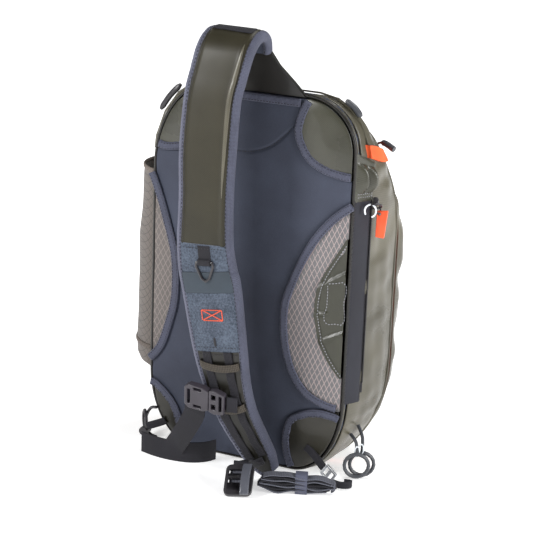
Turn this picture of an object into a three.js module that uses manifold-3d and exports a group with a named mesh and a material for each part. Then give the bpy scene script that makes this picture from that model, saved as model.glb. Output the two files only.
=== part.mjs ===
// A fishing tackle sling bag that stands on its base, with its padded shoulder strap looped over the back panel.
// Units are millimetres. X runs to the right and Z runs up as the back panel is looked at, Y runs away from it
// towards the bag's front, and the origin is at the centre of the flat base.

import * as THREE from 'three';
import * as BufferGeometryUtils from 'three/addons/utils/BufferGeometryUtils.js';
import Module from 'manifold-3d';

const wasm = await Module();
wasm.setup();

// Overall sizes
const BAG_WIDTH = 250;
const BAG_HEIGHT = 445;
const BAG_DEPTH = 137;
const HALF_WIDTH = BAG_WIDTH / 2;
const BACK_Y = -0.4 * BAG_DEPTH;

// Cloth, clearances and the back panel's build
const GAP = 0.3;
const LAYER_GAP = 0.5;
const SEW_GAP = 0.7;
const ZIP_GAP = 0.9;
const SHELL_WALL = 2.5;
const BACK_WALL = 2.5;
const PAD_THICK = 6;
const PAD_CROWN = 5;
const SKIN = 1.2;
const BINDING_WIDTH = 9;
const BINDING_LIFT = 1;
const PIPING_RADIUS = 2.4;

// Where the layers of the back panel lie
const PANEL_FLOOR_Y = BACK_Y + PAD_THICK;
const BACK_WALL_Y = PANEL_FLOOR_Y + GAP;
const RIM_Y = BACK_WALL_Y + BACK_WALL + GAP;
const SEAM_INSET = 2 * PIPING_RADIUS + GAP;

// Side zip, side pocket and hardware
const STRIP_WIDTH = 13;
const POCKET_PROUD = 21;
const POCKET_WALL = 2;
const WEBBING_WIDTH = 25;
const WEBBING_THICK = 1.8;
const RING_RADIUS = 14;
const RING_WIRE = 2.3;

// Shoulder strap
const STRAP_WIDTH = 67;
const STRAP_THICK = 9;
const STRAP_RISE = 72;
const STRAP_REACH = 71;
const STRAP_BINDING = 8;
const BAND_THICK = 0.6;

const finishes = {
  coatedOlive: { color: '#55554a', roughness: 0.35 },
  cornerOlive: { color: '#5a5a50', roughness: 0.4 },
  orange: { color: '#ef6a3c', roughness: 0.7 },
  orangePull: { color: '#ee4a1c', roughness: 0.45 },
  slatePad: { color: '#3a3d49', roughness: 0.85 },
  slateBinding: { color: '#4b4c60', roughness: 0.9 },
  ripstop: { color: '#85837f', roughness: 0.8 },
  pocketCloth: { color: '#84796f', roughness: 0.9 },
  feltGrey: { color: '#64707d', roughness: 1 },
  tealBand: { color: '#56666f', roughness: 0.7 },
  webbing: { color: '#35323a', roughness: 0.8 },
  oliveWebbing: { color: '#3e3a35', roughness: 0.8 },
  blackPlastic: { color: '#302e33', roughness: 0.4 },
  greyRubber: { color: '#4a4d52', roughness: 0.6 },
  metal: { color: '#b9bcc0', roughness: 0.3, metalness: 0.9 },
};

const group = new THREE.Group();

function addMesh(name, geometry, finish) {
  const mesh = new THREE.Mesh(geometry, new THREE.MeshStandardMaterial(finishes[finish]));
  mesh.name = name;
  group.add(mesh);
  return mesh;
}

// Geometry helpers

function lerp(a, b, t) {
  return a + (b - a) * t;
}

// Straight-line reading of a table whose rows start with the key; the rest of the row is interpolated.
function readTable(table, key) {
  let row = 0;
  while (row < table.length - 2 && key > table[row + 1][0]) row += 1;
  const [low, high] = [table[row], table[row + 1]];
  const t = Math.min(1, Math.max(0, (key - low[0]) / (high[0] - low[0])));
  return low.map((value, column) => lerp(value, high[column], t));
}

function signedVolume(points, faces) {
  let sum = 0;
  for (const [a, b, c] of faces) {
    sum += points[a].dot(new THREE.Vector3().crossVectors(points[b], points[c]));
  }
  return sum / 6;
}

// A closed solid from points and faces, turned so that the faces point out.
function solid(points, faces) {
  const outward = signedVolume(points, faces) > 0;
  const geometry = new THREE.BufferGeometry();
  geometry.setAttribute('position', new THREE.Float32BufferAttribute(points.flatMap((p) => [p.x, p.y, p.z]), 3));
  geometry.setIndex(faces.flatMap(([a, b, c]) => (outward ? [a, b, c] : [a, c, b])));
  return geometry;
}

// Rings of the same number of points are joined one to the next. An open run is capped at both ends with fans.
function loft(rings, closedRun = false) {
  const count = rings[0].length;
  const points = rings.flat();
  const faces = [];
  const last = closedRun ? rings.length : rings.length - 1;
  for (let i = 0; i < last; i += 1) {
    const next = (i + 1) % rings.length;
    for (let j = 0; j < count; j += 1) {
      const k = (j + 1) % count;
      const [a, b, c, d] = [i * count + j, i * count + k, next * count + k, next * count + j];
      faces.push([a, b, c], [a, c, d]);
    }
  }
  if (!closedRun) {
    const end = (rings.length - 1) * count;
    for (let j = 1; j < count - 1; j += 1) {
      faces.push([0, j + 1, j], [end, end + j, end + j + 1]);
    }
  }
  return solid(points, faces);
}

// A thick sheet on a grid: outer(i, j) and inner(i, j) give its two sides, and its edges are closed.
function sheet(rows, columns, outer, inner) {
  const points = [];
  for (const side of [outer, inner]) {
    for (let i = 0; i <= rows; i += 1) {
      for (let j = 0; j <= columns; j += 1) points.push(side(i, j));
    }
  }
  const half = points.length / 2;
  const at = (i, j) => i * (columns + 1) + j;
  const faces = [];
  for (let i = 0; i < rows; i += 1) {
    for (let j = 0; j < columns; j += 1) {
      const [a, b, c, d] = [at(i, j), at(i + 1, j), at(i + 1, j + 1), at(i, j + 1)];
      faces.push([a, b, c], [a, c, d], [a + half, c + half, b + half], [a + half, d + half, c + half]);
    }
  }
  const edge = (a, b) => faces.push([a, a + half, b + half], [a, b + half, b]);
  for (let i = 0; i < rows; i += 1) {
    edge(at(i, 0), at(i + 1, 0));
    edge(at(i + 1, columns), at(i, columns));
  }
  for (let j = 0; j < columns; j += 1) {
    edge(at(rows, j), at(rows, j + 1));
    edge(at(0, j + 1), at(0, j));
  }
  return solid(points, faces);
}

// A band that closes on itself: outer and inner give its two sides for each ring and each point round it.
function closedBand(rings, count, outer, inner) {
  const sections = [];
  for (let j = 0; j < count; j += 1) {
    const section = [];
    for (let i = 0; i < rings; i += 1) section.push(outer(i, j));
    for (let i = rings - 1; i >= 0; i -= 1) section.push(inner(i, j));
    sections.push(section);
  }
  return loft(sections, true);
}

function toManifold(geometry) {
  const bare = geometry.clone();
  bare.deleteAttribute('normal');
  bare.deleteAttribute('uv');
  const merged = BufferGeometryUtils.mergeVertices(bare, 1e-4);
  const triVerts = new Uint32Array(merged.index.array);
  const vertProperties = new Float32Array(merged.attributes.position.array);
  return new wasm.Manifold(new wasm.Mesh({ numProp: 3, vertProperties, triVerts }));
}

function toGeometry(body) {
  const { vertProperties, triVerts, numProp } = body.getMesh();
  const positions = [];
  for (let i = 0; i < vertProperties.length; i += numProp) {
    positions.push(vertProperties[i], vertProperties[i + 1], vertProperties[i + 2]);
  }
  const geometry = new THREE.BufferGeometry();
  geometry.setAttribute('position', new THREE.Float32BufferAttribute(positions, 3));
  geometry.setIndex([...triVerts]);
  return geometry;
}

// An outline of [x, z] pairs carried along Y.
function prismXZ(outline, fromY, toY) {
  const shape = new THREE.Shape(outline.map(([x, z]) => new THREE.Vector2(x, z)));
  const geometry = new THREE.ExtrudeGeometry(shape, { depth: toY - fromY, bevelEnabled: false });
  geometry.rotateX(Math.PI / 2);
  geometry.translate(0, toY, 0);
  return geometry;
}

// An outline of [y, z] pairs carried along X.
function prismYZ(outline, fromX, toX) {
  const shape = new THREE.Shape(outline.map(([y, z]) => new THREE.Vector2(y, z)));
  const geometry = new THREE.ExtrudeGeometry(shape, { depth: toX - fromX, bevelEnabled: false });
  geometry.applyMatrix4(new THREE.Matrix4().set(0, 0, 1, fromX, 1, 0, 0, 0, 0, 1, 0, 0, 0, 0, 0, 1));
  return geometry;
}

function smoothCurve(pairs, pieces) {
  const curve = new THREE.CatmullRomCurve3(pairs.map(([x, z]) => new THREE.Vector3(x, 0, z)), false, 'centripetal');
  return curve.getSpacedPoints(pieces).map((p) => [p.x, p.z]);
}

// Each point is moved across the curve, to the left of its run for a positive distance.
function offsetCurve(pairs, distance) {
  return pairs.map(([x, z], i) => {
    const [ax, az] = pairs[Math.max(0, i - 1)];
    const [bx, bz] = pairs[Math.min(pairs.length - 1, i + 1)];
    const length = Math.hypot(bx - ax, bz - az);
    return [x - (distance * (bz - az)) / length, z + (distance * (bx - ax)) / length];
  });
}

// A flat strap along a path, with the direction of its width given at each point.
function ribbon(path, across, width, thickness, pieces) {
  const curve = new THREE.CatmullRomCurve3(path, false, 'centripetal');
  const sides = new THREE.CatmullRomCurve3(across, false, 'centripetal');
  const rings = [];
  for (let i = 0; i <= pieces; i += 1) {
    const centre = curve.getPoint(i / pieces);
    const tangent = curve.getTangent(i / pieces);
    const face = new THREE.Vector3().crossVectors(sides.getPoint(i / pieces), tangent).normalize();
    const side = new THREE.Vector3().crossVectors(tangent, face).normalize();
    rings.push([[-1, -1], [1, -1], [1, 1], [-1, 1]].map(([a, f]) => centre.clone()
      .addScaledVector(side, (a * width) / 2)
      .addScaledVector(face, (f * thickness) / 2)));
  }
  return loft(rings);
}

// A round bar along a path, with its radius given for each share of the path's length.
function bar(path, radius, sides, pieces) {
  const curve = new THREE.CatmullRomCurve3(path, false, 'centripetal');
  const frames = curve.computeFrenetFrames(pieces, false);
  const rings = [];
  for (let i = 0; i <= pieces; i += 1) {
    const centre = curve.getPointAt(i / pieces);
    const ring = [];
    for (let j = 0; j < sides; j += 1) {
      const angle = (2 * Math.PI * j) / sides;
      ring.push(centre.clone()
        .addScaledVector(frames.normals[i], radius(i / pieces) * Math.cos(angle))
        .addScaledVector(frames.binormals[i], radius(i / pieces) * Math.sin(angle)));
    }
    rings.push(ring);
  }
  return loft(rings);
}

// A closed loop of round wire through points of one plane, with mitred corners.
function wireLoop(points, planeNormal, radius, sides) {
  const count = points.length;
  const rings = points.map((point, i) => {
    const before = point.clone().sub(points[(i + count - 1) % count]).normalize();
    const after = points[(i + 1) % count].clone().sub(point).normalize();
    const tangent = before.clone().add(after).normalize();
    const out = new THREE.Vector3().crossVectors(tangent, planeNormal).normalize();
    const mitre = 1 / Math.max(0.5, tangent.dot(after));
    const ring = [];
    for (let j = 0; j < sides; j += 1) {
      const angle = (2 * Math.PI * (j + 0.5)) / sides;
      ring.push(point.clone()
        .addScaledVector(out, radius * mitre * Math.cos(angle))
        .addScaledVector(planeNormal, radius * Math.sin(angle)));
    }
    return ring;
  });
  return loft(rings, true);
}

// Points of a circle in the plane of two directions.
function circle(centre, axisA, axisB, radius, count) {
  const points = [];
  for (let i = 0; i < count; i += 1) {
    const angle = (2 * Math.PI * i) / count;
    points.push(centre.clone()
      .addScaledVector(axisA, radius * Math.cos(angle))
      .addScaledVector(axisB, radius * Math.sin(angle)));
  }
  return points;
}

function hoop(centre, axisA, axisB, radius, wire, count, sides) {
  const normal = new THREE.Vector3().crossVectors(axisA, axisB).normalize();
  return wireLoop(circle(centre, axisA, axisB, radius, count), normal, wire, sides);
}

function roundHole(a, b, radius, count = 8) {
  const hole = [];
  for (let i = 0; i < count; i += 1) {
    const angle = (2 * Math.PI * i) / count;
    hole.push([a + radius * Math.cos(angle), b + radius * Math.sin(angle)]);
  }
  return hole;
}

function join(...geometries) {
  return toGeometry(geometries.map(toManifold).reduce((sum, body) => sum.add(body)));
}

function vec(x, y, z) {
  return new THREE.Vector3(x, y, z);
}

// A plate with an outline of [a, b] pairs and optional holes, set at a place with its own axes.
function plate(outline, holes, thickness, origin, axisA, axisB) {
  const extrude = (pairs, depth) => {
    const shape = new THREE.Shape(pairs.map(([a, b]) => new THREE.Vector2(a, b)));
    const slab = new THREE.ExtrudeGeometry(shape, { depth, bevelEnabled: false });
    slab.translate(0, 0, -depth / 2);
    return toManifold(slab);
  };
  const body = holes.reduce((rest, hole) => rest.subtract(extrude(hole, 2 * thickness)), extrude(outline, thickness));
  const geometry = toGeometry(body);
  const a = axisA.clone().normalize();
  const n = new THREE.Vector3().crossVectors(a, axisB).normalize();
  const b = new THREE.Vector3().crossVectors(n, a);
  geometry.applyMatrix4(new THREE.Matrix4().makeBasis(a, b, n).setPosition(origin));
  return geometry;
}

function roundedRectangle(width, height, radius, steps = 3) {
  const outline = [];
  for (const [sx, sz, start] of [[1, 1, 0], [-1, 1, 90], [-1, -1, 180], [1, -1, 270]]) {
    for (let i = 0; i <= steps; i += 1) {
      const angle = ((start + (90 * i) / steps) * Math.PI) / 180;
      outline.push([sx * (width / 2 - radius) + radius * Math.cos(angle),
        sz * (height / 2 - radius) + radius * Math.sin(angle)]);
    }
  }
  return outline;
}

// The body's outline at each depth. Columns: depth as a share of the bag's depth from the back face; half width as a
// share of half the bag's width; the top of the rear body and of the front pocket, and the base, as shares of the
// height; then the top corner and the base corner, each across as a share of half the width and up as a share of
// the height.
const bodyTable = [
  [0.00, 0.96, 1.000, 0.825, 0.000, 0.48, 0.140, 0.50, 0.210],
  [0.07, 1.02, 1.000, 0.825, 0.000, 0.48, 0.145, 0.50, 0.212],
  [0.22, 1.10, 0.990, 0.825, 0.000, 0.52, 0.180, 0.55, 0.235],
  [0.40, 1.165, 0.940, 0.828, 0.000, 0.60, 0.205, 0.63, 0.265],
  [0.56, 1.19, 0.874, 0.830, 0.000, 0.66, 0.205, 0.68, 0.290],
  [0.70, 1.18, 0.836, 0.812, 0.000, 0.68, 0.210, 0.70, 0.300],
  [0.84, 1.12, 0.800, 0.775, 0.012, 0.66, 0.200, 0.68, 0.290],
  [0.94, 0.99, 0.760, 0.715, 0.045, 0.62, 0.190, 0.62, 0.260],
  [1.00, 0.74, 0.700, 0.640, 0.120, 0.50, 0.160, 0.50, 0.190],
];

// The outline of the back panel's seam.
// The left shoulder slopes more than the right one: what its corner gains, across and up, at the back face.
const SHOULDER_SLOPE = [0.11, 0.095];

const seamShape = { halfWidth: 1.0, top: 1.0, base: 0, topCorner: [0.48, 0.140], baseCorner: [0.50, 0.212] };

// One point of a rounded outline, from the middle of its base round to the right. Straight runs and corners have
// fixed numbers of steps, so that outlines of any size can be joined point by point.
const CORNER_STEPS = 5;
const SIDE_STEPS = 4;
const END_STEPS = 2;
const OUTLINE_COUNT = 4 * CORNER_STEPS + 2 * SIDE_STEPS + 4 * END_STEPS;

function outlinePoint(half, top, base, topCorner, baseCorner, index, slope) {
  const quarter = OUTLINE_COUNT / 2;
  const mirrored = index > quarter;
  const step = mirrored ? OUTLINE_COUNT - index : index;
  const tx = topCorner[0] + (mirrored ? slope * SHOULDER_SLOPE[0] * HALF_WIDTH : 0);
  const tz = topCorner[1] + (mirrored ? slope * SHOULDER_SLOPE[1] * BAG_HEIGHT : 0);
  const [bx, bz] = baseCorner;
  let point;
  if (step <= END_STEPS) {
    point = [((half - bx) * step) / END_STEPS, base];
  } else if (step <= END_STEPS + CORNER_STEPS) {
    const angle = (((step - END_STEPS) / CORNER_STEPS) * Math.PI) / 2;
    point = [half - bx + bx * Math.sin(angle), base + bz - bz * Math.cos(angle)];
  } else if (step <= END_STEPS + CORNER_STEPS + SIDE_STEPS) {
    const t = (step - END_STEPS - CORNER_STEPS) / SIDE_STEPS;
    point = [half, lerp(base + bz, top - tz, t)];
  } else if (step <= END_STEPS + 2 * CORNER_STEPS + SIDE_STEPS) {
    const angle = (((step - END_STEPS - CORNER_STEPS - SIDE_STEPS) / CORNER_STEPS) * Math.PI) / 2;
    point = [half - tx + tx * Math.cos(angle), top - tz + tz * Math.sin(angle)];
  } else {
    const t = (quarter - step) / END_STEPS;
    point = [(half - tx) * t, top];
  }
  return mirrored ? [-point[0], point[1]] : point;
}

function bodyPoint(y, index, useFrontTop, inset) {
  const row = readTable(bodyTable, (y - BACK_Y) / BAG_DEPTH);
  const half = row[1] * HALF_WIDTH - inset;
  const top = row[useFrontTop ? 3 : 2] * BAG_HEIGHT - inset;
  const base = row[4] * BAG_HEIGHT + inset;
  const topCorner = [row[5] * HALF_WIDTH - inset, row[6] * BAG_HEIGHT - inset];
  const baseCorner = [row[7] * HALF_WIDTH - inset, row[8] * BAG_HEIGHT - inset];
  const slope = Math.max(0, 1 - 1.5 * row[0]);
  const [x, z] = outlinePoint(half, top, base, topCorner, baseCorner, index, slope);
  return vec(x, y, z);
}

function seamOutline(inset) {
  const outline = [];
  for (let index = 0; index < OUTLINE_COUNT; index += 1) {
    outline.push(outlinePoint(
      seamShape.halfWidth * HALF_WIDTH - inset,
      seamShape.top * BAG_HEIGHT - inset,
      inset,
      [seamShape.topCorner[0] * HALF_WIDTH - inset, seamShape.topCorner[1] * BAG_HEIGHT - inset],
      [seamShape.baseCorner[0] * HALF_WIDTH - inset, seamShape.baseCorner[1] * BAG_HEIGHT - inset],
      index,
      1,
    ));
  }
  return outline;
}

// Where the rear body ends and the front pocket begins round the outline, as shares of the depth. The zip between
// them runs forward up the sides and back again at the base and at the shoulders.
const splitTable = [
  [0.00, 0.24, 0.29],
  [0.10, 0.24, 0.29],
  [0.20, 0.40, 0.45],
  [0.32, 0.56, 0.60],
  [0.60, 0.56, 0.60],
  [0.68, 0.50, 0.60],
  [0.74, 0.38, 0.60],
  [0.80, 0.40, 0.61],
  [0.87, 0.52, 0.62],
  [0.94, 0.585, 0.63],
  [1.00, 0.60, 0.64],
];

function splitAt(index) {
  const half = OUTLINE_COUNT / 2;
  const share = (index > half ? OUTLINE_COUNT - index : index) / half;
  const [, rear, front] = readTable(splitTable, share);
  return [BACK_Y + rear * BAG_DEPTH, BACK_Y + front * BAG_DEPTH];
}

// Rear body and front pocket: trays of cloth, open where they meet
const REAR_RINGS = 6;
const FRONT_STATIONS = [0, 0.22, 0.45, 0.66, 0.84, 1];

function rearPoint(ring, index, inset) {
  const y = lerp(RIM_Y, splitAt(index)[0], ring / (REAR_RINGS - 1));
  return bodyPoint(y, index, false, inset);
}

function frontPoint(ring, index, inset) {
  const frontY = BACK_Y + BAG_DEPTH - inset;
  const y = lerp(splitAt(index)[1], frontY, FRONT_STATIONS[ring]);
  return bodyPoint(y, index, true, inset);
}

function buildMainShell() {
  return closedBand(REAR_RINGS, OUTLINE_COUNT, (i, j) => rearPoint(i, j, 0), (i, j) => rearPoint(i, j, SHELL_WALL));
}

// The gusset of the zip between rear body and front pocket, a little smaller than both and gapped from each.
function buildGusset() {
  const inset = SHELL_WALL / 2;
  const side = (depth) => (i, j) => {
    const rear = rearPoint(REAR_RINGS - 1, j, inset + depth);
    const front = frontPoint(0, j, inset + depth);
    const direction = front.clone().sub(rear).normalize();
    return i === 0 ? rear.addScaledVector(direction, SEW_GAP) : front.addScaledVector(direction, -SEW_GAP);
  };
  return closedBand(2, OUTLINE_COUNT, side(0), side(SHELL_WALL));
}

function buildFrontPocket() {
  const count = OUTLINE_COUNT;
  const rings = FRONT_STATIONS.length;
  const points = [];
  for (const inset of [0, SHELL_WALL]) {
    for (let i = 0; i < rings; i += 1) {
      for (let j = 0; j < count; j += 1) points.push(frontPoint(i, j, inset));
    }
    points.push(vec(0, BACK_Y + BAG_DEPTH + PAD_CROWN - inset, 0.38 * BAG_HEIGHT));
  }
  const half = points.length / 2;
  const faces = [];
  for (let j = 0; j < count; j += 1) {
    const k = (j + 1) % count;
    for (let i = 0; i < rings - 1; i += 1) {
      const [a, b, c, d] = [i * count + j, (i + 1) * count + j, (i + 1) * count + k, i * count + k];
      faces.push([a, b, c], [a, c, d], [a + half, c + half, b + half], [a + half, d + half, c + half]);
    }
    const [p, q, tip] = [(rings - 1) * count + j, (rings - 1) * count + k, half - 1];
    faces.push([p, tip, q], [p + half, q + half, tip + half], [j, k, k + half], [j, k + half, j + half]);
  }
  return solid(points, faces);
}

// A thin skin that follows the rear body's wall, cut to an outline of [y, z] pairs on one side.
function onSideWall(outline, side, gap, thickness) {
  const skin = closedBand(REAR_RINGS, OUTLINE_COUNT,
    (i, j) => rearPoint(i, j, -gap - thickness), (i, j) => rearPoint(i, j, -gap));
  const [fromX, toX] = side > 0 ? [0, BAG_WIDTH] : [-BAG_WIDTH, 0];
  return toGeometry(toManifold(skin).intersect(toManifold(prismYZ(outline, fromX, toX))));
}

// Back panel: tiles of one crowned quilt, laid side by side on the flat back wall

function crown(x, z) {
  const across = 1 - (x / HALF_WIDTH) ** 2;
  const up = Math.sin(Math.PI * Math.min(1, Math.max(0, z / BAG_HEIGHT)));
  return PAD_CROWN * Math.max(0, across) * Math.sqrt(Math.max(0, up));
}

function quilt(lift) {
  const columns = 8;
  const rows = 12;
  const place = (i, j) => [lerp(-HALF_WIDTH, HALF_WIDTH, j / columns), lerp(0, BAG_HEIGHT, i / rows)];
  return toManifold(sheet(rows, columns, (i, j) => {
    const [x, z] = place(i, j);
    return vec(x, BACK_Y - crown(x, z) - lift, z);
  }, (i, j) => {
    const [x, z] = place(i, j);
    return vec(x, PANEL_FLOOR_Y, z);
  }));
}

// The bound edges of the back panel. Each is a table of places as shares of half the width and of the height, from
// the top down, and a corner of the page beyond the seam that closes it into a region.
const boundEdges = {
  right_wing: {
    curve: [[1.06, 0.765], [0.78, 0.699], [0.62, 0.640], [0.512, 0.582], [0.424, 0.519], [0.366, 0.463],
      [0.358, 0.396], [0.392, 0.330], [0.478, 0.265], [0.616, 0.218], [0.79, 0.195], [1.06, 0.185]],
    close: [[1.4, 0.185], [1.4, 0.765]],
  },
  left_wing: {
    curve: [[-1.06, 0.80], [-0.92, 0.72], [-0.79, 0.62], [-0.71, 0.54], [-0.69, 0.47], [-0.70, 0.41],
      [-0.76, 0.34], [-0.85, 0.27], [-1.06, 0.20]],
    close: [[-1.4, 0.20], [-1.4, 0.80]],
  },
  top_right_corner: {
    curve: [[0.60, 1.04], [0.50, 0.99], [0.435, 0.945], [0.415, 0.905], [0.464, 0.865], [0.568, 0.829],
      [0.712, 0.809], [0.88, 0.799], [1.06, 0.797]],
    close: [[1.4, 0.797], [1.4, 1.04]],
  },
  top_left_corner: {
    curve: [[-0.60, 1.04], [-0.50, 0.99], [-0.435, 0.945], [-0.415, 0.905], [-0.464, 0.865], [-0.568, 0.835],
      [-0.712, 0.818], [-0.88, 0.812], [-1.06, 0.830]],
    close: [[-1.4, 0.830], [-1.4, 1.04]],
  },
  bottom_right_corner: {
    curve: [[1.06, 0.172], [0.91, 0.184], [0.76, 0.187], [0.62, 0.177], [0.48, 0.153], [0.424, 0.110],
      [0.43, 0.054], [0.50, 0.000], [0.60, -0.04]],
    close: [[1.4, -0.04], [1.4, 0.172]],
  },
  bottom_left_corner: {
    curve: [[-1.06, 0.180], [-0.94, 0.180], [-0.82, 0.160], [-0.70, 0.125], [-0.63, 0.080], [-0.61, 0.035],
      [-0.64, -0.04]],
    close: [[-1.4, -0.04], [-1.4, 0.180]],
  },
};
const EDGE_PIECES = 14;

// The region beyond a bound edge, drawn in from it by a distance.
function edgeRegion(name, distance) {
  const scale = ([x, z]) => [x * HALF_WIDTH, z * BAG_HEIGHT];
  const { curve, close } = boundEdges[name];
  const line = smoothCurve(curve.map(scale), EDGE_PIECES);
  const inward = close[0][0] > 0 ? 1 : -1;
  const outline = [...offsetCurve(line, inward * distance), ...close.map(scale)];
  return toManifold(prismXZ(outline, BACK_Y - BAG_DEPTH, PANEL_FLOOR_Y + BAG_DEPTH));
}

// The olive patch inside the right wing, from the top down.
const wingPatchCurve = [[1.10, 0.735], [0.98, 0.665], [0.85, 0.600], [0.73, 0.535], [0.68, 0.478], [0.695, 0.414],
  [0.745, 0.362], [0.85, 0.312], [1.10, 0.240]];

function buildBackPanel() {
  const seam = toManifold(prismXZ(seamOutline(SEAM_INSET), BACK_Y - BAG_DEPTH, PANEL_FLOOR_Y + BAG_DEPTH));
  const field = quilt(0).intersect(seam);
  const raised = quilt(BINDING_LIFT).intersect(seam);
  const bound = GAP;
  const within = BINDING_WIDTH + 2 * GAP;
  let pad = field;
  for (const name of Object.keys(boundEdges)) {
    const inner = edgeRegion(name, within);
    const binding = raised.intersect(edgeRegion(name, bound)).subtract(edgeRegion(name, within - GAP));
    pad = pad.subtract(edgeRegion(name, 0));
    addMesh(`${name}_binding`, toGeometry(binding), 'slateBinding');
    let cloth = field.intersect(inner);
    if (name === 'right_wing') {
      const patchLine = smoothCurve(wingPatchCurve.map(([x, z]) => [x * HALF_WIDTH, z * BAG_HEIGHT]), EDGE_PIECES);
      const close = [[1.4 * HALF_WIDTH, 0.240 * BAG_HEIGHT], [1.4 * HALF_WIDTH, 0.735 * BAG_HEIGHT]];
      const region = (distance) => toManifold(prismXZ([...offsetCurve(patchLine, distance), ...close],
        BACK_Y - BAG_DEPTH, PANEL_FLOOR_Y + BAG_DEPTH));
      addMesh('right_wing_patch', toGeometry(cloth.intersect(region(GAP))), 'coatedOlive');
      cloth = cloth.subtract(region(0));
    }
    addMesh(name, toGeometry(cloth), name.endsWith('wing') ? 'ripstop' : 'cornerOlive');
  }
  const topBand = (drop) => toManifold(prismXZ([
    [-HALF_WIDTH, BAG_HEIGHT - SEAM_INSET - drop], [HALF_WIDTH, BAG_HEIGHT - SEAM_INSET - drop],
    [HALF_WIDTH, 1.1 * BAG_HEIGHT], [-HALF_WIDTH, 1.1 * BAG_HEIGHT]],
  BACK_Y - BAG_DEPTH, PANEL_FLOOR_Y + BAG_DEPTH));
  let topBinding = raised.intersect(topBand(BINDING_WIDTH));
  for (const name of ['top_right_corner', 'top_left_corner']) topBinding = topBinding.subtract(edgeRegion(name, 0));
  addMesh('top_binding', toGeometry(topBinding), 'slateBinding');
  addMesh('back_pad', toGeometry(pad.subtract(topBand(BINDING_WIDTH + GAP))), 'slatePad');
}

function buildPiping() {
  const middle = seamOutline(PIPING_RADIUS);
  const count = middle.length;
  const centreY = PANEL_FLOOR_Y - GAP - PIPING_RADIUS;
  const rings = middle.map(([x, z], i) => {
    const [ax, az] = middle[(i + count - 1) % count];
    const [bx, bz] = middle[(i + 1) % count];
    const out = vec(bz - az, 0, ax - bx).normalize();
    return [0, 1, 2, 3, 4].map((side) => {
      const angle = (2 * Math.PI * side) / 5;
      return vec(x, centreY + PIPING_RADIUS * Math.cos(angle), z)
        .addScaledVector(out, PIPING_RADIUS * Math.sin(angle));
    });
  });
  return loft(rings, true);
}

// Side pocket on the left: a pouch of knitted cloth, open at the top, sewn to the wall at its back, front and base.
// Columns: height as a share of the pocket's height, how far it stands proud as a share, and the raised inner floor.
const pocketTable = [
  [0.000, 0.00, 1], [0.008, 0.80, 1], [0.035, 1.00, 1], [0.10, 1.04, 0], [0.35, 1.0, 0], [0.65, 0.92, 0],
  [0.90, 0.74, 0], [1.000, 0.66, 0],
];
const POCKET_BASE = 0.20 * BAG_HEIGHT;
const POCKET_TOP = 0.742 * BAG_HEIGHT;
const POCKET_BACK_Y = RIM_Y + 3;
const POCKET_FRONT_Y = BACK_Y + 0.53 * BAG_DEPTH;
const POCKET_COLUMNS = 8;

function wallHalfWidth(y) {
  return readTable(bodyTable, (y - BACK_Y) / BAG_DEPTH)[1] * HALF_WIDTH;
}

function pocketPoint(row, column, wall) {
  const [share, proud, floor] = row;
  const u = (1 - Math.cos((Math.PI * column) / POCKET_COLUMNS)) / 2;
  const y = lerp(POCKET_BACK_Y + wall, POCKET_FRONT_Y - wall, u);
  const z = lerp(POCKET_BASE, POCKET_TOP, share) + floor * wall;
  const lift = (POCKET_PROUD - wall) * proud * Math.sin(Math.PI * u) ** 0.55;
  return vec(-wallHalfWidth(y) - LAYER_GAP - lift, y, z);
}

function buildPocket() {
  return sheet(pocketTable.length - 1, POCKET_COLUMNS,
    (i, j) => pocketPoint(pocketTable[i], j, 0), (i, j) => pocketPoint(pocketTable[i], j, POCKET_WALL));
}

// Shoulder strap. Columns: across as a share of half the bag's width, out from the back face as a share of the
// strap's reach, height as a share of the strap's top, and width as a share of the strap's width. The rows run from
// the yoke over the top and down to the tip on the floor.
const STRAP_TOP = BAG_HEIGHT + STRAP_RISE;
const strapTable = [
  [-0.080, 0.05, 0.942, 0.93],
  [-0.080, 0.11, 0.963, 0.96],
  [-0.080, 0.22, 0.976, 0.98],
  [-0.084, 0.35, 0.981, 1.00],
  [-0.088, 0.48, 0.978, 1.01],
  [-0.094, 0.60, 0.968, 1.01],
  [-0.110, 0.71, 0.945, 1.01],
  [-0.140, 0.79, 0.900, 1.00],
  [-0.168, 0.86, 0.850, 1.00],
  [-0.176, 0.94, 0.745, 1.01],
  [-0.168, 0.98, 0.640, 0.97],
  [-0.160, 1.00, 0.545, 1.01],
  [-0.128, 0.99, 0.484, 1.06],
  [-0.090, 0.97, 0.441, 1.08],
  [-0.010, 0.91, 0.310, 1.00],
  [0.040, 0.82, 0.230, 0.90],
  [0.108, 0.69, 0.160, 0.80],
  [0.216, 0.58, 0.100, 0.72],
  [0.336, 0.50, 0.048, 0.60],
  [0.420, 0.46, 0.020, 0.36],
];
const APEX_ROW = 3;
const FACE_END_ROW = 11;
const BAND_TOP_ROW = 12;
const BAND_END_ROW = 13;
const FELT_END_ROW = 14;
const TIP_ROW = strapTable.length - 1;

const strapCentres = strapTable.map(([x, y, z]) => vec(x * HALF_WIDTH, BACK_Y - y * STRAP_REACH, z * STRAP_TOP));

// The strap's frame at a row, which may lie between two rows.
function strapFrame(row) {
  const at = (i) => {
    const before = strapCentres[Math.max(0, i - 1)];
    const after = strapCentres[Math.min(TIP_ROW, i + 1)];
    const tangent = after.clone().sub(before).normalize();
    const face = new THREE.Vector3().crossVectors(tangent, vec(1, 0, 0)).normalize();
    return { centre: strapCentres[i], side: new THREE.Vector3().crossVectors(face, tangent), face,
      width: strapTable[i][3] * STRAP_WIDTH };
  };
  const low = Math.min(TIP_ROW - 1, Math.floor(row));
  const [a, b, t] = [at(low), at(low + 1), row - low];
  return {
    centre: a.centre.clone().lerp(b.centre, t),
    side: a.side.clone().lerp(b.side, t),
    face: a.face.clone().lerp(b.face, t),
    width: lerp(a.width, b.width, t),
  };
}

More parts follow.
